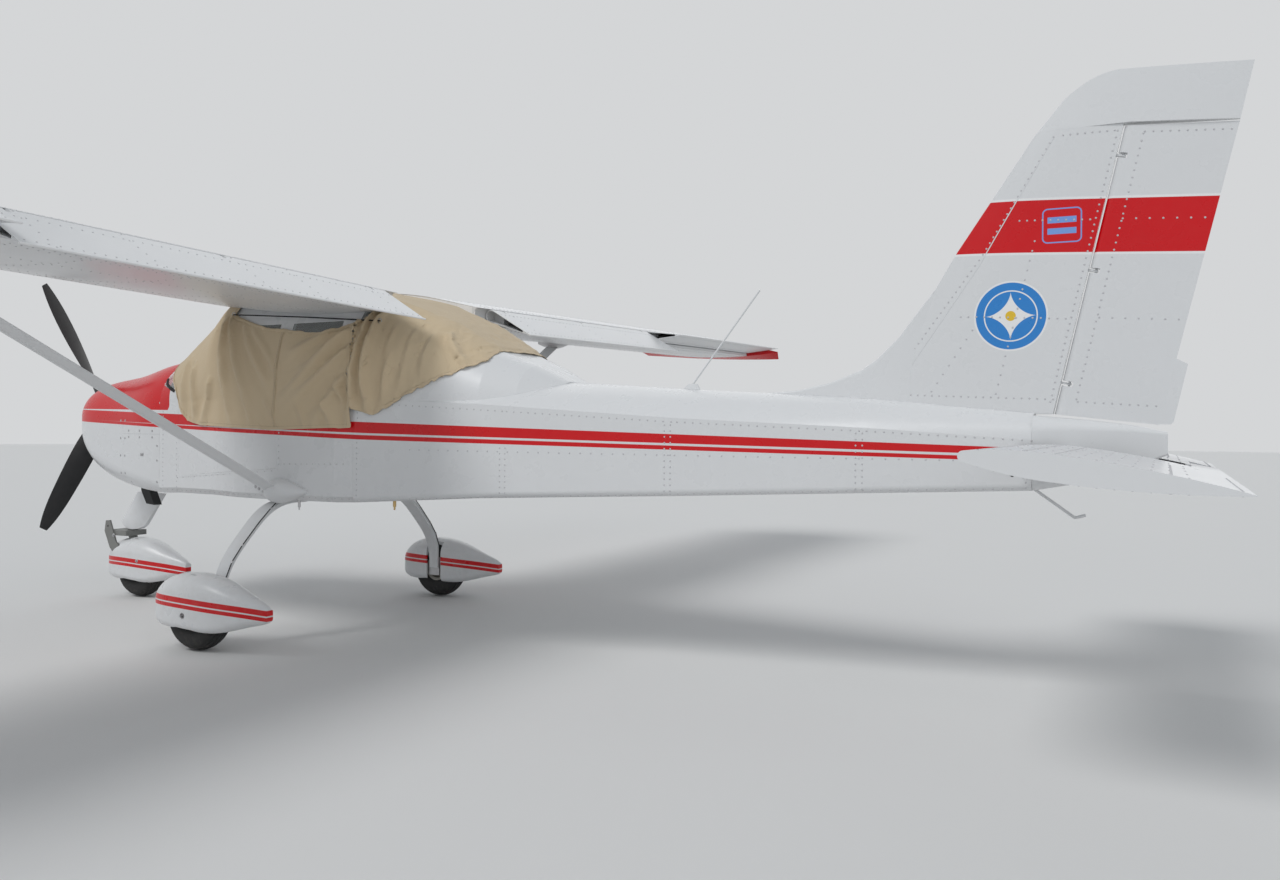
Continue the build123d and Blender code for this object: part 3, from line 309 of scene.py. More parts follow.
def rubber():
    f = Finish("tyre rubber")
    wear = f.noise(22.0, 4.0)
    colour = f.mix(wear * 0.5, (0.012, 0.012, 0.013), (0.035, 0.033, 0.030))
    dust = (f.noise(55.0, 5.0) - 0.5).larger(0.0) * 1.2 * (1.0 - f.z.above(0.06, 0.09))
    colour = f.mix(dust, colour, (0.16, 0.14, 0.12))
    return f.surface(colour, wear * 0.2 + 0.62, f.bump(f.noise(300.0, 2.0), 0.12, 0.002))


def metal(name, colour, roughness, grain):
    """Bare metal with darker stains and a fine drawn grain."""
    f = Finish(name)
    stain = f.noise(30.0, 5.0)
    mixed = f.mix(stain * 0.6, colour, tuple(c * 0.6 for c in colour))
    lines = f.noise(240.0, 2.0, f.stretched((1.0, 6.0, 1.0)))
    return f.surface(mixed, stain * 0.18 + roughness, f.bump(lines, grain, 0.001), Metallic=1.0)


def satin(name, colour, roughness, wear=0.4, bump=0.08):
    """Black or grey paint with fine orange peel and worn patches."""
    f = Finish(name)
    patches = f.noise(14.0, 5.0)
    mixed = f.mix(patches * wear, colour, tuple(min(1.0, c * 1.5 + 0.01) for c in colour))
    return f.surface(mixed, patches * 0.15 + roughness, f.bump(f.noise(350.0, 2.0), bump, 0.001))


def window_pane():
    f = Finish("acrylic pane")
    smear = f.noise(12.0, 4.0)
    return f.surface((0.86, 0.90, 0.90), smear * 0.08 + 0.05, Transmission_Weight=0.85, IOR=1.49)


airframe_paint = painted("airframe paint", fuselage_red)
fin_paint = painted("fin paint", fin_red, badge=compass_badge)
wing_paint = painted("wing paint", gloss=0.30)
tip_paint = painted("tip paint", lambda f: f.z.above(-1.0), gloss=0.25, waves=0.2)
main_spat_paint = painted("main spat paint", lambda f: spat_red(f, 1.678, 0.266, 0.083), waves=0.1)
nose_spat_paint = painted("nose spat paint", lambda f: spat_red(f, 0.147, 0.250, 0.150), waves=0.1)
gear_paint = painted("gear paint", waves=0.15, gloss=0.30)
rim_paint = painted("rim paint", base=(0.50, 0.47, 0.42), waves=0.1, gloss=0.38)
blade_paint = satin("blade paint", (0.010, 0.010, 0.011), 0.42)
black_paint = satin("soft black paint", (0.012, 0.012, 0.013), 0.5)
fork_paint = satin("fork paint", (0.20, 0.20, 0.19), 0.45)
hub_metal = metal("machined hub", (0.60, 0.60, 0.61), 0.30, 0.10)
steel = metal("bright steel", (0.55, 0.55, 0.56), 0.33, 0.12)
engine_metal = metal("engine castings", (0.20, 0.20, 0.20), 0.55, 0.25)
brass = metal("brass fitting", (0.62, 0.44, 0.20), 0.35, 0.10)
tyre_rubber = rubber()
edge_paint = satin("bare folded edge", (0.86, 0.86, 0.86), 0.30, 0.1, 0.02)
# The rivet heads are grey, darker than the white paint they really carry: painted shade of their small
# domes, with some dirt round them.
rivet_painted_shade = satin("rivet heads in painted shade", (0.50, 0.50, 0.51), 0.40, 0.5, 0.05)
cover_thread = satin("sewing thread", (0.34, 0.27, 0.18), 0.8, 0.3, 0.1)
seal_rubber = satin("seal rubber", (0.010, 0.010, 0.010), 0.75, 0.2, 0.2)
pane = window_pane()
cover_canvas = canvas()

WEARS = (
    (airframe_paint, "cabin_shell door_left door_right cabin_fairing rear_fuselage tail_fairing nose_bowl"),
    (airframe_paint, "cowl_upper cowl_lower"),
    (fin_paint, "fin fin_cap rudder rudder_tab dorsal_fillet"),
    (wing_paint, "wing_left wing_right flap_left flap_right aileron_left aileron_right"),
    (wing_paint, "stabilator stabilator_tab strut_left strut_right strut_fairings antenna"),
    (tip_paint, "wing_tips"),
    (main_spat_paint, "spat_left spat_right"),
    (nose_spat_paint, "spat_nose"),
    (gear_paint, "main_leg_left main_leg_right nose_leg_fairing tail_skid rudder_hinges surface_hinges"),
    (rim_paint, "rim_left rim_right rim_nose"),
    (blade_paint, "propeller_blades"),
    (black_paint, "exhaust_stub engine_mount"),
    (fork_paint, "nose_fork nose_leg nose_gear_mount firewall"),
    (hub_metal, "propeller_hub"),
    (steel, "main_axle_left main_axle_right"),
    (engine_metal, "engine"),
    (tyre_rubber, "tyre_left tyre_right tyre_nose"),
    (pane, "windscreen side_windows rear_window"),
    (cover_canvas, "canopy_cover"),
)
for finish, node_names in WEARS:
    for node_name in node_names.split():
        mesh = NODES[node_name].data
        mesh.materials.clear()
        mesh.materials.append(finish)

# Pieces


def piece(name, bm, body, material):
    """Turns a bmesh in the row frame into a piece that rides on a body."""
    mesh = bpy.data.meshes.new(name)
    bm.to_mesh(mesh)
    bm.free()
    made = bpy.data.objects.new(name, mesh)
    bpy.context.scene.collection.objects.link(made)
    mesh.materials.append(material)
    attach(made, body)
    return made


class Skin:
    """The outer surface of some CAD nodes, on which small things sit."""

    def __init__(self, *names):
        corners, faces = [], []
        for name in names:
            mesh = NODES[name].data
            start = len(corners)
            corners += [v.co.copy() for v in mesh.vertices]
            faces += [[start + i for i in p.vertices] for p in mesh.polygons]
        self.tree = BVHTree.FromPolygons(corners, faces)

    def press(self, point, direction):
        """Where a line from outside meets the surface, and the surface's normal there."""
        direction = Vector(direction).normalized()
        start = point - direction * 2 * OUTSIDE
        place, normal, _, _ = self.tree.ray_cast(start, direction)
        if place is not None and normal.dot(direction) > 0:
            normal = -normal
        return place, normal


def upright(place, normal):
    """A frame at a place with its Z along the normal."""
    return Matrix.Translation(place) @ normal.to_track_quat("Z", "Y").to_matrix().to_4x4()


# Rivets

RIVET_RADIUS = 0.0048
WING_RIVET_RADIUS = 0.0044
RIVET_HEIGHT = 0.0026


def rivet(bm, place, normal, radius):
    """A small domed head, set a little into the skin."""
    bmesh.ops.create_cone(
        bm, cap_ends=True, cap_tris=False, segments=6, radius1=radius, radius2=radius * 0.5,
        depth=RIVET_HEIGHT, matrix=upright(place + normal * (RIVET_HEIGHT * 0.30), normal),
    )


def gather(bm, part):
    """Adds a small bmesh to a larger one."""
    mesh = bpy.data.meshes.new("part")
    part.to_mesh(mesh)
    part.free()
    bm.from_mesh(mesh)
    bpy.data.meshes.remove(mesh)


def rivet_line(bm, skin, start, end, pitch, direction, radius):
    """Rivets at an even pitch between two points, pressed on the skin."""
    count = max(2, round((end - start).length / pitch) + 1)
    row = bmesh.new()
    for k in range(count):
        point = start.lerp(end, k / (count - 1))
        place, normal = skin.press(point, direction)
        if place is not None:
            rivet(row, place, normal, radius)
    gather(bm, row)


# Each side, and the way inward from it
SIDES = ((-1, (0, 1, 0)), (1, (0, -1, 0)))


def side_rivets(name, body, skin, rows):
    """Rows given by their first and last station and height, on both sides."""
    bm = bmesh.new()
    for x0, z0, x1, z1, pitch in rows:
        for side, direction in SIDES:
            start, end = at(x0, side, z0), at(x1, side, z1)
            rivet_line(bm, skin, start, end, pitch, direction, RIVET_RADIUS)
    return piece(name, bm, body, rivet_painted_shade)


FUSELAGE_ROWS = (
    # first station and height, last station and height, pitch
    (2.400, 0.712, 2.400, 0.995, 0.026),
    (2.432, 0.712, 2.432, 0.995, 0.026),
    (2.435, 1.115, 2.435, 1.220, 0.030),
    (2.723, 0.727, 4.788, 0.820, 0.036),
    (4.820, 0.822, 5.430, 0.846, 0.036),
    (2.728, 0.964, 4.020, 0.958, 0.052),
    (4.050, 0.958, 5.420, 0.954, 0.052),
    (2.560, 1.184, 3.216, 1.151, 0.036),
    (3.240, 1.149, 4.033, 1.104, 0.036),
    (4.060, 1.103, 4.840, 1.070, 0.036),
    (4.870, 1.069, 5.500, 1.036, 0.036),
    (3.205, 0.770, 3.205, 0.979, 0.026),
    (3.232, 0.770, 3.232, 0.979, 0.026),
    (4.003, 0.800, 4.003, 1.090, 0.026),
    (4.030, 0.800, 4.030, 1.090, 0.026),
    (4.826, 0.830, 4.826, 1.060, 0.026),
    (4.853, 0.830, 4.853, 1.060, 0.026),
    (5.480, 0.850, 5.480, 1.020, 0.022),
)
CABIN_ROWS = (
    (1.030, 0.745, 1.030, 1.150, 0.026),
    (1.150, 0.740, 1.150, 1.040, 0.030),
    (1.945, 0.880, 1.945, 1.040, 0.030),
    (1.981, 0.882, 2.355, 0.889, 0.036),
    (1.159, 0.790, 1.900, 0.846, 0.048),
    (1.060, 0.722, 2.380, 0.716, 0.040),
)
FIN_ROWS = (
    (4.905, 1.250, 5.285, 1.768, 0.026),
    (5.300, 1.790, 5.565, 2.238, 0.026),
    (5.355, 1.223, 5.498, 1.829, 0.040),
    (5.100, 1.235, 5.262, 1.483, 0.040),
    (5.560, 1.190, 5.795, 2.236, 0.026),
    (4.985, 1.222, 5.570, 1.200, 0.030),
    (5.215, 1.540, 5.615, 1.517, 0.030),
    (5.440, 1.915, 5.700, 1.900, 0.030),
    (5.600, 2.240, 5.785, 2.238, 0.026),
)
RUDDER_ROWS = (
    (5.655, 1.200, 5.885, 2.215, 0.028),
    (5.660, 1.190, 5.935, 1.172, 0.030),
    (5.890, 2.222, 6.180, 2.200, 0.028),
    (5.735, 1.517, 6.010, 1.500, 0.044),
    (5.815, 1.895, 6.095, 1.878, 0.044),
)

side_rivets("rivets_fuselage", "airframe", Skin("rear_fuselage"), FUSELAGE_ROWS)
side_rivets("rivets_cabin", "airframe", Skin("cabin_shell", "door_left", "door_right"), CABIN_ROWS)
side_rivets("rivets_fin", "airframe", Skin("fin"), FIN_ROWS)
side_rivets("rivets_rudder", "rudder", Skin("rudder"), RUDDER_ROWS)


def flat_rivets(name, body, skin, rows):
    """Rows given by station and distance from the centreline, from above and below."""
    bm = bmesh.new()
    for x0, y0, x1, y1, pitch in rows:
        for level in (1, -1):
            start, end = at(x0, y0, level * OUTSIDE), at(x1, y1, level * OUTSIDE)
            rivet_line(bm, skin, start, end, pitch, (0, 0, -level), WING_RIVET_RADIUS)
    return piece(name, bm, body, rivet_painted_shade)


SPAN_PITCH = 0.040
RIB_PITCH = 0.045


def wing_rows(side, spans, ribs, first, last):
    """Rows along the span, and rows along the chord over the ribs."""
    rows = [(x, side * y0, x, side * y1, SPAN_PITCH) for x, y0, y1 in spans]
    return rows + [(first, side * y, last, side * y, RIB_PITCH) for y in ribs]


# Spans have a station, and the distances from the centreline where they start and end
WING_SPANS = tuple((x, 0.50, 4.52) for x in (1.520, 1.760, 2.215, 2.440, 2.470))
WING_RIBS = (0.66, 1.09, 1.52, 1.95, 2.40, 2.85, 3.29, 3.73, 4.17, 4.51)
FLAP_SPANS = ((2.600, 0.48, 2.40), (2.780, 0.48, 2.40))
FLAP_RIBS = (0.60, 1.10, 1.40, 1.90, 2.30)
AILERON_SPANS = ((2.600, 2.46, 4.52), (2.780, 2.46, 4.52))
AILERON_RIBS = (2.50, 2.95, 3.45, 3.95, 4.48)
for side, name in ((-1, "left"), (1, "right")):
    flat_rivets(
        "rivets_wing_" + name, "airframe", Skin("wing_" + name),
        wing_rows(side, WING_SPANS, WING_RIBS, 1.47, 2.46),
    )
    flat_rivets(
        "rivets_flap_" + name, "flap_" + name, Skin("flap_" + name),
        wing_rows(side, FLAP_SPANS, FLAP_RIBS, 2.56, 2.79),
    )
    flat_rivets(
        "rivets_aileron_" + name, "aileron_" + name, Skin("aileron_" + name),
        wing_rows(side, AILERON_SPANS, AILERON_RIBS, 2.56, 2.79),
    )
STAB_SPANS = (
    (5.500, 0.16, 1.43), (5.620, 0.16, 1.43), (5.700, 0.16, 1.43), (5.980, 0.64, 1.43), (6.140, 0.64, 1.43),
)
STAB_RIBS = (0.17, 0.45, 0.63, 0.90, 1.17, 1.43)
STAB_ROWS = []
for side in (-1, 1):
    STAB_ROWS += wing_rows(side, STAB_SPANS, STAB_RIBS, 5.50, 6.02)
flat_rivets("rivets_stabilator", "stabilator", Skin("stabilator"), STAB_ROWS)

# Canvas cover

COVERED = (
    "cabin_shell", "door_left", "door_right", "windscreen", "side_windows", "rear_window", "cabin_fairing",
    "rear_fuselage",
)
COVER_HEM = (
    # station, height of the hem
    (1.060, 1.420), (1.096, 1.338), (1.148, 1.262), (1.177, 1.171), (1.252, 1.098), (1.361, 1.072),
    (1.638, 1.060), (1.917, 1.050), (2.137, 1.057), (2.406, 1.065), (2.421, 1.101), (2.553, 1.134),
    (2.776, 1.247), (2.987, 1.343), (3.087, 1.392), (3.200, 1.410),
)
SOURCE_HEM = (
    # station, height of the solid's own edge
    (1.004, 1.330), (1.120, 1.250), (1.165, 1.085), (2.405, 1.085), (2.425, 1.125), (2.674, 1.223),
    (3.060, 1.395), (3.200, 1.395),
)
COVER_SCALLOPS = (
    # station, height of the cut edge under the wing
    (1.535, 1.672), (1.558, 1.656), (1.692, 1.613), (1.801, 1.584), (1.922, 1.574), (2.120, 1.548),
    (2.222, 1.548), (2.331, 1.575), (2.422, 1.602), (2.440, 1.640),
)
COVER_FOLDS = (
    # from station and height, to station and height, ridge height, half width
    (1.521, 1.655, 1.766, 1.185, 0.014, 0.020),
    (1.521, 1.655, 1.671, 1.325, 0.010, 0.014),
    (1.633, 1.612, 1.874, 1.271, 0.010, 0.016),
    (1.707, 1.582, 1.924, 1.347, 0.007, 0.014),
    (2.403, 1.572, 1.955, 1.185, 0.018, 0.028),
    (2.418, 1.487, 2.010, 1.159, 0.015, 0.022),
    (2.369, 1.530, 1.985, 1.320, 0.011, 0.018),
    (2.416, 1.379, 2.184, 1.101, 0.013, 0.020),
    (2.280, 1.542, 2.009, 1.457, 0.009, 0.020),
    (1.331, 1.404, 1.310, 1.098, 0.013, 0.018),
    (1.454, 1.329, 1.389, 1.080, 0.012, 0.020),
    (1.536, 1.434, 1.638, 1.081, 0.012, 0.018),
    (1.470, 1.640, 1.560, 1.250, 0.012, 0.016),
    (1.250, 1.440, 1.215, 1.150, 0.009, 0.020),
    (1.700, 1.250, 1.760, 1.080, 0.007, 0.016),
    (1.850, 1.200, 1.990, 1.075, 0.008, 0.018),
    (2.060, 1.180, 2.120, 1.075, 0.008, 0.014),
    (2.250, 1.220, 2.290, 1.080, 0.010, 0.016),
    (2.330, 1.330, 2.370, 1.080, 0.011, 0.014),
    (2.450, 1.640, 2.421, 1.101, 0.022, 0.016),
    (2.504, 1.640, 2.497, 1.150, 0.024, 0.018),
    (2.400, 1.620, 2.392, 1.080, 0.010, 0.010),
    (2.606, 1.581, 2.590, 1.215, 0.006, 0.016),
    (2.688, 1.564, 2.687, 1.263, 0.005, 0.014),
    (2.781, 1.529, 2.808, 1.311, 0.006, 0.016),
    (2.841, 1.531, 2.992, 1.352, 0.012, 0.014),
    (2.631, 1.443, 2.553, 1.150, 0.007, 0.014),
)

FOLD_GAIN = 1.9     # folds are raised by this to read as deep as they do
SCALLOP_ENDS = (1.535, 2.44)
SCALLOP_SIDE = 0.39
SEAM_SIDE = 0.40
MID_SEAM = 1.921
REAR_SEAM = 2.406
CLOTH_STEP = 0.0143
HEM_REACH = 0.16    # height over the hem in which the cloth is drawn down to it
CLOTH_GAP = 0.0085  # from the cabin to the cloth between folds
LEAST_GAP = 0.0042  # and in the deepest dents
TOUCHING = 0.004
CABIN_CORE = 1.0    # height of a line inside the cabin that all skin faces away from


def height_on(line, x):
    """The height of a line of stations and heights at one station."""
    for (x0, z0), (x1, z1) in zip(line, line[1:]):
        if x <= x1:
            return z0 + (z1 - z0) * max(0.0, x - x0) / (x1 - x0)
    return line[-1][1]


def fold_height(x, z):
    """How far the cloth stands off the cabin for its folds."""
    total = 0.0
    for x0, z0, x1, z1, ridge, width in COVER_FOLDS:
        run_x, run_z = x1 - x0, z1 - z0
        length = math.hypot(run_x, run_z)
        along = ((x - x0) * run_x + (z - z0) * run_z) / (length * length)
        if not -0.05 < along < 1.12:
            continue
        bend = 0.010 * math.sin(along * 3.0 + x0 * 20.0)
        aside = ((x - x0) * run_z - (z - z0) * run_x) / length - bend
        taper = min(1.0, (along + 0.05) * 6.0, max(0.0, 1.12 - along) * 2.6)
        spread = width * (0.75 + 0.6 * along)
        shape = math.exp(-((aside / spread) ** 2))
        dip = math.exp(-(((aside - spread * 1.9) / spread) ** 2))
        total += FOLD_GAIN * ridge * taper * (shape - 0.55 * dip)
    return total


def crinkle(point, x):
    """Small wrinkles, sharper over the rear window."""
    rear = min(1.0, max(0.0, (x - 2.52) * 5.0))
    slow = noise.noise(Vector((x * 7.0, point.y * 5.0, point.z * 2.6)))
    fine = noise.noise(Vector((x * 26.0 + point.z * 9.0, point.y * 20.0, point.z * 8.0)))
    slanted = Vector((x * 19.0 - point.z * 6.0, point.y * 17.0, point.z * 9.0))
    sharp = 1.0 - abs(noise.noise(slanted)) * 2.4
    hem = math.exp(-max(0.0, point.z - height_on(COVER_HEM, x)) / 0.05)
    gathers = noise.noise(Vector((x * 48.0, point.y * 30.0, point.z * 6.0))) * hem
    return 0.0045 * slow + (0.0012 + 0.0016 * rear) * fine + 0.0042 * rear * sharp + 0.0030 * gathers


def off_skin(skin, point, gap):
    """The point, moved out to stand a gap off the cabin."""
    place, normal, _, _ = skin.tree.find_nearest(point)
    away = point - place
    if away.length > 1e-6 and away.dot(normal) > 0:
        normal = away.normalized()
    outward = Vector((0.0, place.y, place.z - CABIN_CORE))
    if normal.dot(outward) < 0:
        normal = -normal
    return place + normal * gap


def over_scallops(point, margin):
    """Whether a point lies under the wing and over the scalloped edge, less a margin."""
    x = point.x + ORIGIN
    under = SCALLOP_ENDS[0] < x < SCALLOP_ENDS[1] and abs(point.y) > SCALLOP_SIDE
    return under and point.z > height_on(COVER_SCALLOPS, x) - margin


def smoothed(bm, factor):
    bmesh.ops.smooth_vert(
        bm, verts=bm.verts, factor=factor, use_axis_x=True, use_axis_y=True, use_axis_z=True,
    )


def outer_layer(skin):
    """The outside of the cover's solid, without its inside and its edges."""
    bm = bmesh.new()
    bm.from_mesh(NODES["canopy_cover"].data)
    bmesh.ops.remove_doubles(bm, verts=bm.verts, dist=0.0004)
    inner = []
    for face in bm.faces:
        middle = face.calc_center_median()
        place, _, _, _ = skin.tree.find_nearest(middle)
        if face.normal.dot((middle - place).normalized()) < 0.5:
            inner.append(face)
    bmesh.ops.delete(bm, geom=inner, context="FACES")
    return bm


def sliced(bm):
    """Cuts the cloth into small faces along all three axes."""
    low, high = at(1.0, -0.58, 1.04), at(3.1, 0.58, 1.90)
    for axis in range(3):
        normal = Vector([float(axis == k) for k in range(3)])
        for k in range(1, int((high[axis] - low[axis]) / CLOTH_STEP)):
            plane = low + normal * (CLOTH_STEP * k)
            geom = bm.verts[:] + bm.edges[:] + bm.faces[:]
            bmesh.ops.bisect_plane(bm, geom=geom, dist=1e-5, plane_co=plane, plane_no=normal)
    bmesh.ops.remove_doubles(bm, verts=bm.verts, dist=0.0018)


def hemmed(bm):
    """Draws the cloth down to its hem, and cuts the front and the scallops under the wing."""
    for vert in bm.verts:
        x = vert.co.x + ORIGIN
        old = height_on(SOURCE_HEM, x)
        new = height_on(COVER_HEM, x)
        rise = vert.co.z - old
        if 0.0 <= rise < HEM_REACH and x > 1.30 and new < old:
            vert.co.z = new + rise * (HEM_REACH + old - new) / HEM_REACH
    for line in (COVER_HEM[:6], COVER_SCALLOPS):
        for (x0, z0), (x1, z1) in zip(line, line[1:]):
            normal = Vector((z0 - z1, 0.0, x1 - x0))
            near = [f for f in bm.faces if x0 - 0.02 < f.calc_center_median().x + ORIGIN < x1 + 0.02]
            geom = list({e for f in near for e in f.edges} | {v for f in near for v in f.verts}) + near
            bmesh.ops.bisect_plane(bm, geom=geom, dist=1e-5, plane_co=at(x0, 0, z0), plane_no=normal)
    spare = []
    for face in bm.faces:
        middle = face.calc_center_median()
        x = middle.x + ORIGIN
        below = x < 1.40 and middle.z < height_on(COVER_HEM, x)
        if below or over_scallops(middle, 0.0):
            spare.append(face)
    bmesh.ops.delete(bm, geom=spare, context="FACES")
    bmesh.ops.recalc_face_normals(bm, faces=bm.faces)
    loose = [v for v in bm.verts if not v.link_faces]
    bmesh.ops.delete(bm, geom=loose, context="VERTS")
    bmesh.ops.dissolve_degenerate(bm, edges=bm.edges, dist=0.0008)


def cover_cloth():
    """One layer of cloth over the cabin, cut and creased."""
    skin = Skin(*COVERED)
    bm = outer_layer(skin)
    sliced(bm)
    hemmed(bm)
    for _ in range(2):
        smoothed(bm, 0.5)
    for vert in bm.verts:
        x = vert.co.x + ORIGIN
        gap = CLOTH_GAP + fold_height(x, vert.co.z) + crinkle(vert.co, x)
        vert.co = off_skin(skin, vert.co, max(LEAST_GAP, gap))
    smoothed(bm, 0.35)
    for vert in bm.verts:
        _, _, _, gap = skin.tree.find_nearest(vert.co)
        if gap < TOUCHING:
            vert.co = off_skin(skin, vert.co, TOUCHING)
    return bm


def cut_map(bm):
    """Lengths along the cloth, in metres, for the weave."""
    layer = bm.loops.layers.uv.new("cut")
    for face in bm.faces:
        across = max(range(3), key=lambda k: abs(face.normal[k]))
        first, second = [k for k in range(3) if k != across]
        for loop in face.loops:
            loop[layer].uv = (loop.vert.co[first], loop.vert.co[second])


def strip_of(bm, wanted, lift):
    """A thicker strip of the cloth, such as a hem or a felled seam."""
    strip = bm.copy()
    spare = [f for f in strip.faces if not wanted(f.calc_center_median())]
    bmesh.ops.delete(strip, geom=spare, context="FACES")
    strip.normal_update()
    for vert in strip.verts:
        vert.co += vert.normal * lift
    cut_map(strip)
    return strip


def on_hem(point):
    return point.z < height_on(COVER_HEM, point.x + ORIGIN) + 0.024


def on_scallop(point):
    return over_scallops(point, 0.016)


def on_seam(point):
    x = point.x + ORIGIN
    return abs(point.y) > SEAM_SIDE and (abs(x - MID_SEAM) < 0.010 or abs(x - REAR_SEAM) < 0.008)


STITCH_PITCH = 0.008
CORD_HOOK = 0.012   # radius of the open hooks at the cord's ends


def stitches(bm, cloth, lines):
    """Short thread stitches on the cloth, pressed on from each side."""
    tree = BVHTree.FromBMesh(cloth)
    for x0, z0, x1, z1 in lines:
        for side, direction in SIDES:
            start, end = at(x0, side * OUTSIDE, z0), at(x1, side * OUTSIDE, z1)
            count = int((end - start).length / STITCH_PITCH)
            row = bmesh.new()
            for k in range(count):
                place, _, _, _ = tree.ray_cast(start.lerp(end, k / count), Vector(direction))
                if place is None:
                    continue
                spot = Matrix.Translation(place - Vector(direction) * 0.0026)
                length = Matrix.Scale(4.2, 4, (end - start).normalized())
                bmesh.ops.create_cube(row, size=2.0, matrix=spot @ length @ Matrix.Scale(0.0006, 4))
            gather(bm, row)


def cord_between(bm, points, radius, segments=8):
    """A round cord through a few points."""
    for a, b in zip(points, points[1:]):
        along = b - a
        bmesh.ops.create_cone(
            bm, cap_ends=True, segments=segments, radius1=radius, radius2=radius, depth=along.length * 1.01,
            matrix=upright((a + b) / 2, along),
        )


def cover():
    """The cloth with its hem, edge binding, seams, stitches and the cord under the wing."""
    cloth = cover_cloth()
    area = sum(face.calc_area() for face in cloth.faces)
    seam_lines = [(1.9165, 1.070, 1.9165, 1.560), (1.9255, 1.070, 1.9255, 1.560)]
    hem_points = [(x, z + 0.021) for x, z in COVER_HEM[5:10]]
    seam_lines += [(a[0], a[1], b[0], b[1]) for a, b in zip(hem_points, hem_points[1:])]
    thread = bmesh.new()
    stitches(thread, cloth, seam_lines)
    strips = {
        "cover_hem": strip_of(cloth, on_hem, 0.0022),
        "cover_edge": strip_of(cloth, on_scallop, 0.0026),
        "cover_seam": strip_of(cloth, on_seam, 0.0020),
    }
    cut_map(cloth)
    for face in cloth.faces:
        face.smooth = True
    made = piece("cover", cloth, "airframe", cover_canvas)
    with_it = [piece(name, bm, "airframe", cover_canvas) for name, bm in strips.items()]
    for cut in [made] + with_it:
        thickness = cut.modifiers.new("thickness", "SOLIDIFY")
        thickness.thickness = 0.0012 if cut == made else 0.0020
        thickness.offset = -1.0
    with_it.append(piece("cover_stitches", thread, "airframe", cover_thread))

    cord = bmesh.new()
    hooks = bmesh.new()
    for side in (-1, 1):
        run = [at(1.545, side * 0.474, 1.664), at(2.05, side * 0.476, 1.630), at(2.535, side * 0.468, 1.592)]
        cord_between(cord, run, 0.0032)
        for end in (run[0], run[-1]):
            for k in range(6):
                pair = []
                for turn in (math.radians(50 * k - 30), math.radians(50 * k + 20)):
                    pair.append(end + Vector((CORD_HOOK * math.cos(turn), 0.0, CORD_HOOK * math.sin(turn))))
                cord_between(hooks, pair, 0.0022, 6)
    with_it.append(piece("cover_elastic", cord, "airframe", seal_rubber))
    with_it.append(piece("cover_hooks", hooks, "airframe", steel))
    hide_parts("canopy_cover")


cover()

# Wheels

TYRE_PROFILE = (
    # half width, radius, from the bead over the sidewall
    (0.0436, 0.0682), (0.0500, 0.0760), (0.0575, 0.0900), (0.0618, 0.1080), (0.0629, 0.1260),
    (0.0605, 0.1440), (0.0560, 0.1560), (0.0540, 0.1575), (0.0515, 0.1575), (0.0500, 0.1605),
    (0.0455, 0.1640),
)
TREAD_GROOVES = (0.036, 0.018, 0.0)
TREAD_HALF = 0.0455
GROOVE_DEPTH = 0.0045
GROOVE_TOP = 0.0030     # half width at the tread
GROOVE_FLOOR = 0.0018


def tread_radius(half):
    """The outer radius over the tread at a distance from its middle."""
    return 0.1776 - 0.0140 * (half / TREAD_HALF) ** 2


def tyre_outline():
    """One half of a tyre's outline, then the other, as half width and radius."""
    outer = list(TYRE_PROFILE)
    for groove in TREAD_GROOVES:
        floor = tread_radius(groove) - GROOVE_DEPTH
        outer.append((groove + GROOVE_TOP, tread_radius(groove + GROOVE_TOP)))
        outer.append((groove + GROOVE_FLOOR, floor))
        if groove:
            outer.append((groove - GROOVE_FLOOR, floor))
            outer.append((groove - GROOVE_TOP, tread_radius(groove - GROOVE_TOP)))
    return outer + [(-half, radius) for half, radius in reversed(outer)]


def lathe(outline, centre):
    """Turns a closed outline of offset along Y and radius about a wheel's axis."""
    bm = bmesh.new()
    verts = [bm.verts.new(centre + Vector((0.0, half, radius))) for half, radius in outline]
    edges = [bm.edges.new(pair) for pair in zip(verts, verts[1:])]
    edges.append(bm.edges.new((verts[-1], verts[0])))
    bmesh.ops.spin(
        bm, geom=verts + edges, cent=centre, axis=(0, 1, 0), angle=math.tau, steps=72, use_merge=True,
    )
    bmesh.ops.remove_doubles(bm, verts=bm.verts, dist=1e-5)
    bmesh.ops.recalc_face_normals(bm, faces=bm.faces)
    return bm


MAIN_AXLE = 1.840
MAIN_SIDE = 0.930
AXLE_HEIGHT = 0.178
RIM_BOLT_CIRCLE = 0.045
WHEELS = (
    # name, body, station, distance from the centreline
    ("left", "wheel_left", MAIN_AXLE, -MAIN_SIDE),
    ("right", "wheel_right", MAIN_AXLE, MAIN_SIDE),
    ("nose", "nose_wheel", 0.225, 0.0),
)
for name, body, station, y in WHEELS:
    hub = at(station, y, AXLE_HEIGHT)
    tyre = lathe(tyre_outline(), hub)
    for face in tyre.faces:
        face.smooth = True
    made = piece("tyre_tread_" + name, tyre, body, tyre_rubber)
    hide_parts("tyre_" + name)
    bolts = bmesh.new()
    for side in (-1, 1):
        for k in range(6):
            turn = math.radians(60 * k + 30)
            ring = Vector((math.cos(turn), 0.0, math.sin(turn))) * RIM_BOLT_CIRCLE
            foot = hub + ring + Vector((0.0, side * 0.0078, 0.0))
            top = foot + Vector((0.0, side * 0.006, 0.0))
            cord_between(bolts, (foot, top), 0.0060, 6)
            cord_between(bolts, (top, top + Vector((0.0, side * 0.003, 0.0))), 0.0032, 8)
    stem = hub + Vector((0.0, -0.030, 0.066))
    cord_between(bolts, (stem, stem + Vector((0.0, -0.020, -0.005))), 0.0030)
    piece("rim_bolts_" + name, bolts, body, steel)

# Small fittings


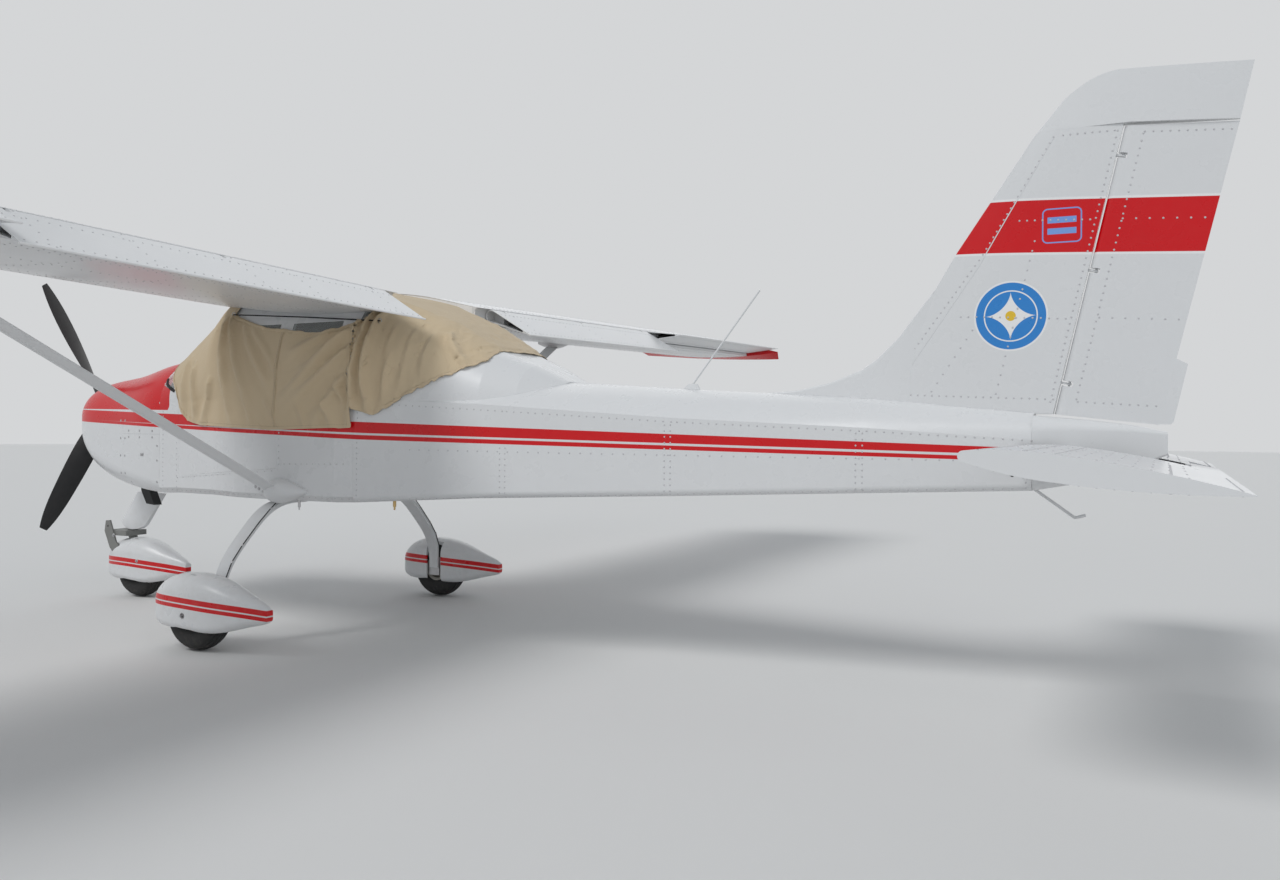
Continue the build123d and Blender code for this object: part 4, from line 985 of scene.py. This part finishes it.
def dome_bolt(bm, place, normal, radius, height):
    """A bolt head on a washer."""
    for size, low, high in ((1.7, 0.0, 0.25), (1.0, 0.2, 1.0)):
        middle = place + normal * height * (low + high) / 2
        bmesh.ops.create_cone(
            bm, cap_ends=True, segments=16, radius1=radius * size, radius2=radius * size * 0.88,
            depth=height * (high - low), matrix=upright(middle, normal),
        )


def side_bolts(name, body, nodes, places, radius, height, material):
    """Bolts at stations and heights, pressed on both sides."""
    skin = Skin(*nodes)
    bm = bmesh.new()
    for x, z in places:
        for side, direction in SIDES:
            place, normal = skin.press(at(x, side * OUTSIDE, z), direction)
            if place is not None:
                dome_bolt(bm, place, normal, radius, height)
    return piece(name, bm, body, material)


COWL_SCREWS = [(x, z) for x in (0.655, 0.605) for z in (0.80, 0.90, 1.00, 1.10, 1.20)]
COWL_SCREWS += [(x, z) for z in (1.043, 1.007) for x in (0.70, 0.82, 0.94)]
COWL_SCREWS += [(0.980, z) for z in (0.76, 0.88, 0.96, 1.10, 1.20, 1.30)]
side_bolts(
    "cowl_screws", "airframe", ("cowl_upper", "cowl_lower", "nose_bowl"), COWL_SCREWS,
    0.0042, 0.0022, steel,
)
side_bolts(
    "strut_bolts", "airframe", ("cabin_shell", "strut_fairings"),
    [(1.789, 0.762), (1.813, 0.752), (1.880, 0.742)], 0.0055, 0.0060, steel,
)

spat_bolts = bmesh.new()
spat_skin = Skin("spat_left", "spat_right")
for y in (-MAIN_SIDE, MAIN_SIDE):
    for side in (-1, 1):
        place, normal = spat_skin.press(at(MAIN_AXLE, y + side * 0.3, AXLE_HEIGHT), (0, -side, 0))
        dome_bolt(spat_bolts, place, normal, 0.0085, 0.0075)
piece("spat_bolts", spat_bolts, "airframe", steel)
nose_bolts = bmesh.new()
nose_skin = Skin("spat_nose")
fork_skin = Skin("nose_fork")
NOSE_BOLTS = ((nose_skin, 0.300, 0.235), (fork_skin, 0.235, 0.172), (fork_skin, 0.060, 0.380))
for side in (-1, 1):
    for skin, x, z in NOSE_BOLTS:
        place, normal = skin.press(at(x, side * 0.4, z), (0, -side, 0))
        dome_bolt(nose_bolts, place, normal, 0.0065, 0.0060)
piece("nose_gear_bolts", nose_bolts, "nose_gear", steel)

BRAKE_LINE = (
    # distance from the centreline, height, behind the leg's middle
    (0.512, 0.690, 0.050), (0.560, 0.655, 0.050), (0.634, 0.588, 0.047), (0.736, 0.484, 0.044),
    (0.797, 0.408, 0.041), (0.832, 0.330, 0.038), (0.843, 0.255, 0.034),
)
brake_lines = bmesh.new()
brake_clips = bmesh.new()
for side in (-1, 1):
    route = [at(1.860 + back, side * y, z) for y, z, back in BRAKE_LINE]
    cord_between(brake_lines, route, 0.0028)
    for k in (1, 3, 4):
        turned = (route[k + 1] - route[k]).normalized() * 0.005
        cord_between(brake_clips, (route[k] - turned, route[k] + turned), 0.0046)
piece("brake_lines", brake_lines, "airframe", black_paint)
piece("brake_line_clips", brake_clips, "airframe", steel)

latch = bmesh.new()
latch_skin = Skin("cowl_lower")
for side, direction in SIDES:
    place, normal = latch_skin.press(at(0.847, side * OUTSIDE, 0.910), direction)
    plate = upright(place + normal * 0.0012, normal)
    bmesh.ops.create_cube(latch, size=1.0, matrix=plate @ Matrix.Diagonal((0.030, 0.016, 0.0024, 1.0)))
    dome_bolt(latch, place + normal * 0.0024, normal, 0.0045, 0.004)
bmesh.ops.bevel(
    latch, geom=latch.edges[:], affect="EDGES", offset=0.0004, segments=1, profile=0.5, material=-1,
)
piece("cowl_latches", latch, "airframe", steel)

DRAINS = (
    # name, metal, station, distance to starboard, heights from the top down, radii
    ("fuel_drain", steel, 2.050, -0.505, (0.700, 0.664, 0.650), (0.0070, 0.0035)),
    ("drain_fitting", brass, 2.610, -0.440, (0.716, 0.684, 0.668), (0.0080, 0.0045)),
)
for name, finish, station, y, heights, radii in DRAINS:
    belly = bmesh.new()
    top, middle, low = [at(station, y, z) for z in heights]
    cord_between(belly, (top, middle), radii[0], 12)
    cord_between(belly, (middle, low), radii[1], 8)
    piece(name, belly, "airframe", finish)

# Two black disks stand for holes in the tail: painted shade for the dark inside of each hole.
hole_shade_disks = bmesh.new()
tail_skin = Skin("rear_fuselage")
for x, z, radius in ((5.466, 0.930, 0.010), (5.430, 0.900, 0.008)):
    for side, direction in SIDES:
        place, normal = tail_skin.press(at(x, side * OUTSIDE, z), direction)
        bmesh.ops.create_cone(
            hole_shade_disks, cap_ends=True, segments=20, radius1=radius, radius2=radius * 0.9, depth=0.0016,
            matrix=upright(place + normal * 0.0004, normal),
        )
piece("tail_hole_shade", hole_shade_disks, "airframe", black_paint)


def side_strip(name, body, nodes, points, width, thickness, material):
    """A flat strip pressed on the skin through points in side view, on both sides."""
    skin = Skin(*nodes)
    bm = bmesh.new()
    for side, direction in SIDES:
        for (x0, z0), (x1, z1) in zip(points, points[1:]):
            count = max(1, int(math.hypot(x1 - x0, z1 - z0) / 0.04))
            spots = []
            for k in range(count + 1):
                share = k / count
                point = at(x0 + (x1 - x0) * share, side * OUTSIDE, z0 + (z1 - z0) * share)
                spots.append(skin.press(point, direction))
            for (a, normal_a), (b, normal_b) in zip(spots, spots[1:]):
                if a is None or b is None or (b - a).length > 0.08:
                    continue
                along = (b - a).normalized()
                normal = ((normal_a + normal_b) / 2).normalized()
                aside = along.cross(normal).normalized()
                up = aside.cross(along).normalized()
                turn = Matrix((along, aside, up)).transposed().to_4x4()
                size = Matrix.Diagonal(((b - a).length * 1.02, width, thickness, 1.0))
                middle = Matrix.Translation((a + b) / 2 + up * thickness * 0.4)
                bmesh.ops.create_cube(bm, size=1.0, matrix=middle @ turn @ size)
    return piece(name, bm, body, material)


side_strip(
    "fin_edge_strip", "airframe", ("fin",),
    ((4.955, 1.260), (5.285, 1.745), (5.567, 2.240)), 0.004, 0.0012, airframe_paint,
)
side_strip(
    "door_sill_strip", "airframe", ("door_left", "door_right", "cabin_shell"),
    ((1.159, 0.797), (1.940, 0.853)), 0.010, 0.0016, airframe_paint,
)
side_strip(
    "windscreen_seal", "airframe", ("cabin_shell", "windscreen", "cowl_upper"),
    ((1.003, 1.392), (1.012, 1.330), (1.040, 1.300), (1.090, 1.276), (1.130, 1.262)), 0.016, 0.005,
    seal_rubber,
)


def rear_edge(names, body, stem, radius):
    """A folded edge along the rearmost line of each node, short of its ends."""
    for name in names:
        corners = [v.co for v in NODES[name].data.vertices]
        inner = min(abs(c.y) for c in corners)
        outer = max(abs(c.y) for c in corners)
        ends = []
        for reach in (inner, outer):
            near = [c for c in corners if abs(abs(c.y) - reach) < 0.012]
            last = max(c.x for c in near)
            edge = [c for c in near if c.x > last - 0.003]
            ends.append(sum(edge, Vector()) / len(edge))
        inset = (ends[1] - ends[0]).normalized() * 0.006
        bm = bmesh.new()
        cord_between(bm, (ends[0] + inset, ends[1] - inset), radius, 10)
        piece(stem + name, bm, body or name, edge_paint)


rear_edge(("flap_left", "flap_right", "aileron_left", "aileron_right"), None, "folded_edge_", 0.0042)
rear_edge(("wing_left", "wing_right"), "airframe", "lip_edge_", 0.0020)

RIB_STATIONS = (1.46, 2.56)
RIB_COLUMNS = 45
WING_ROOT = 0.350   # where the wings' skins end over the roof
RIB_INSET = 0.0015


def root_rib(name, side):
    """Closes the wing's open end, from under its upper skin down to the cover on the roof."""
    wing = Skin(name)
    roof = Skin("canopy_cover", "cabin_shell")
    down = Vector((0.0, 0.0, -1.0))
    columns = []
    for k in range(RIB_COLUMNS):
        x = RIB_STATIONS[0] + k * (RIB_STATIONS[1] - RIB_STATIONS[0]) / (RIB_COLUMNS - 1)
        high = wing.press(at(x, side * (WING_ROOT + 0.006), 2.2), down)[0]
        low = roof.press(at(x, side * (WING_ROOT - 0.006), 2.2), down)[0]
        if high is not None and low is not None and high.z - low.z > 0.006:
            columns.append((high.x, low.z - 0.004, high.z - 0.002))
    bm = bmesh.new()
    bmesh.ops.create_grid(bm, x_segments=len(columns) - 1, y_segments=1, size=0.5)
    for v in bm.verts:
        x, low, high = columns[round((v.co.x + 0.5) * (len(columns) - 1))]
        v.co = Vector((x, side * (WING_ROOT + RIB_INSET), high if v.co.y > 0 else low))
    bm.normal_update()
    bmesh.ops.solidify(bm, geom=bm.faces[:], thickness=0.0015)
    bmesh.ops.recalc_face_normals(bm, faces=bm.faces[:])
    piece("root_rib_" + name, bm, "airframe", edge_paint)


root_rib("wing_left", -1)
root_rib("wing_right", 1)

SHAFT_HEIGHT = 1.182
HUB_BOLT_CIRCLE = 0.047
hub_bolts = bmesh.new()
for k in range(6):
    turn = math.radians(60 * k)
    rise = HUB_BOLT_CIRCLE * math.sin(turn)
    foot = at(-0.150, HUB_BOLT_CIRCLE * math.cos(turn), SHAFT_HEIGHT + rise)
    cord_between(hub_bolts, (foot, foot + Vector((-0.020, 0.0, 0.0))), 0.0062, 6)
piece("hub_bolts", hub_bolts, "propeller", steel)

# Stage


FLOOR_RADIUS = 60.0
FLOOR_COLOUR = (0.74, 0.735, 0.725)
SKY = ((0.86, 0.93, 1.0, 1.0), 0.36)            # colour and strength of the light from all round
BACKDROP = ((0.66, 0.67, 0.68, 1.0), 1.0)       # what the camera and mirrors see


def studio():
    """A pale floor, a soft light from all round, and a plain backdrop."""
    bm = bmesh.new()
    bmesh.ops.create_circle(bm, cap_ends=True, segments=96, radius=FLOOR_RADIUS)
    mesh = bpy.data.meshes.new("studio floor")
    bm.to_mesh(mesh)
    bm.free()
    floor = bpy.data.objects.new("studio floor", mesh)
    bpy.context.scene.collection.objects.link(floor)
    floor.location.z = CAD_BOX[0].z - 0.001
    f = Finish("pale floor")
    f.surface(FLOOR_COLOUR, f.noise(0.6, 3.0) * 0.1 + 0.75)
    mesh.materials.append(f.material)

    world = bpy.data.worlds.new("studio")
    bpy.context.scene.world = world
    world.use_nodes = True
    tree = world.node_tree
    tree.nodes.clear()
    path = tree.nodes.new("ShaderNodeLightPath")
    seen = tree.nodes.new("ShaderNodeMath")
    seen.operation = "MAXIMUM"
    seen_through = tree.nodes.new("ShaderNodeMath")
    seen_through.operation = "MAXIMUM"
    tree.links.new(path.outputs["Is Camera Ray"], seen.inputs[0])
    tree.links.new(path.outputs["Is Glossy Ray"], seen.inputs[1])
    tree.links.new(seen.outputs[0], seen_through.inputs[0])
    tree.links.new(path.outputs["Is Transmission Ray"], seen_through.inputs[1])
    blend = tree.nodes.new("ShaderNodeMixShader")
    tree.links.new(seen_through.outputs[0], blend.inputs[0])
    for slot, (colour, strength) in ((1, SKY), (2, BACKDROP)):
        light = tree.nodes.new("ShaderNodeBackground")
        light.inputs["Color"].default_value = colour
        light.inputs["Strength"].default_value = strength
        tree.links.new(light.outputs[0], blend.inputs[slot])
    output = tree.nodes.new("ShaderNodeOutputWorld")
    tree.links.new(blend.outputs[0], output.inputs["Surface"])


def lamp(name, energy, direction, angle):
    """A far lamp, given by the way its light goes and how wide it is in degrees."""
    data = bpy.data.lights.new(name, "SUN")
    data.energy = energy
    data.angle = math.radians(angle)
    made = bpy.data.objects.new(name, data)
    bpy.context.scene.collection.objects.link(made)
    made.rotation_mode = "QUATERNION"
    made.rotation_quaternion = Vector(direction).to_track_quat("-Z", "Y")


CAMERA_PLACE = (2.9314, -4.4288, 1.0752)
CAMERA_TURN = (-0.4673, -0.0018, 0.0063)    # yaw, pitch and roll, in radians
CAMERA_LENS = 29.209
SHIFT_PIXELS = -10.0
FRAME_WIDTH = 1280.0


def camera():
    """Stands to port and aft, at the height of the stripe's front end."""
    yaw, pitch, roll = CAMERA_TURN
    level_run = math.cos(pitch)
    ahead = Vector((math.sin(yaw) * level_run, math.cos(yaw) * level_run, math.sin(pitch)))
    level = Vector((math.cos(yaw), -math.sin(yaw), 0.0))
    raised = level.cross(ahead)
    right = math.cos(roll) * level + math.sin(roll) * raised
    up = -math.sin(roll) * level + math.cos(roll) * raised
    data = bpy.data.cameras.new("camera")
    data.sensor_width = 36.0
    data.lens = CAMERA_LENS
    data.shift_y = SHIFT_PIXELS / FRAME_WIDTH
    data.clip_end = 200.0
    made = bpy.data.objects.new("camera", data)
    bpy.context.scene.collection.objects.link(made)
    turn = Matrix((right, up, -ahead)).transposed()
    made.matrix_world = Matrix.Translation(CAMERA_PLACE) @ turn.to_4x4()
    bpy.context.scene.camera = made


studio()
lamp("key", 1.30, (0.30, 0.80, -1.0), 25.0)
lamp("fill", 0.45, (-0.8, 0.5, -0.35), 60.0)
lamp("back", 0.30, (0.2, -1.0, -0.5), 60.0)
camera()
bpy.context.scene.view_settings.view_transform = "Standard"
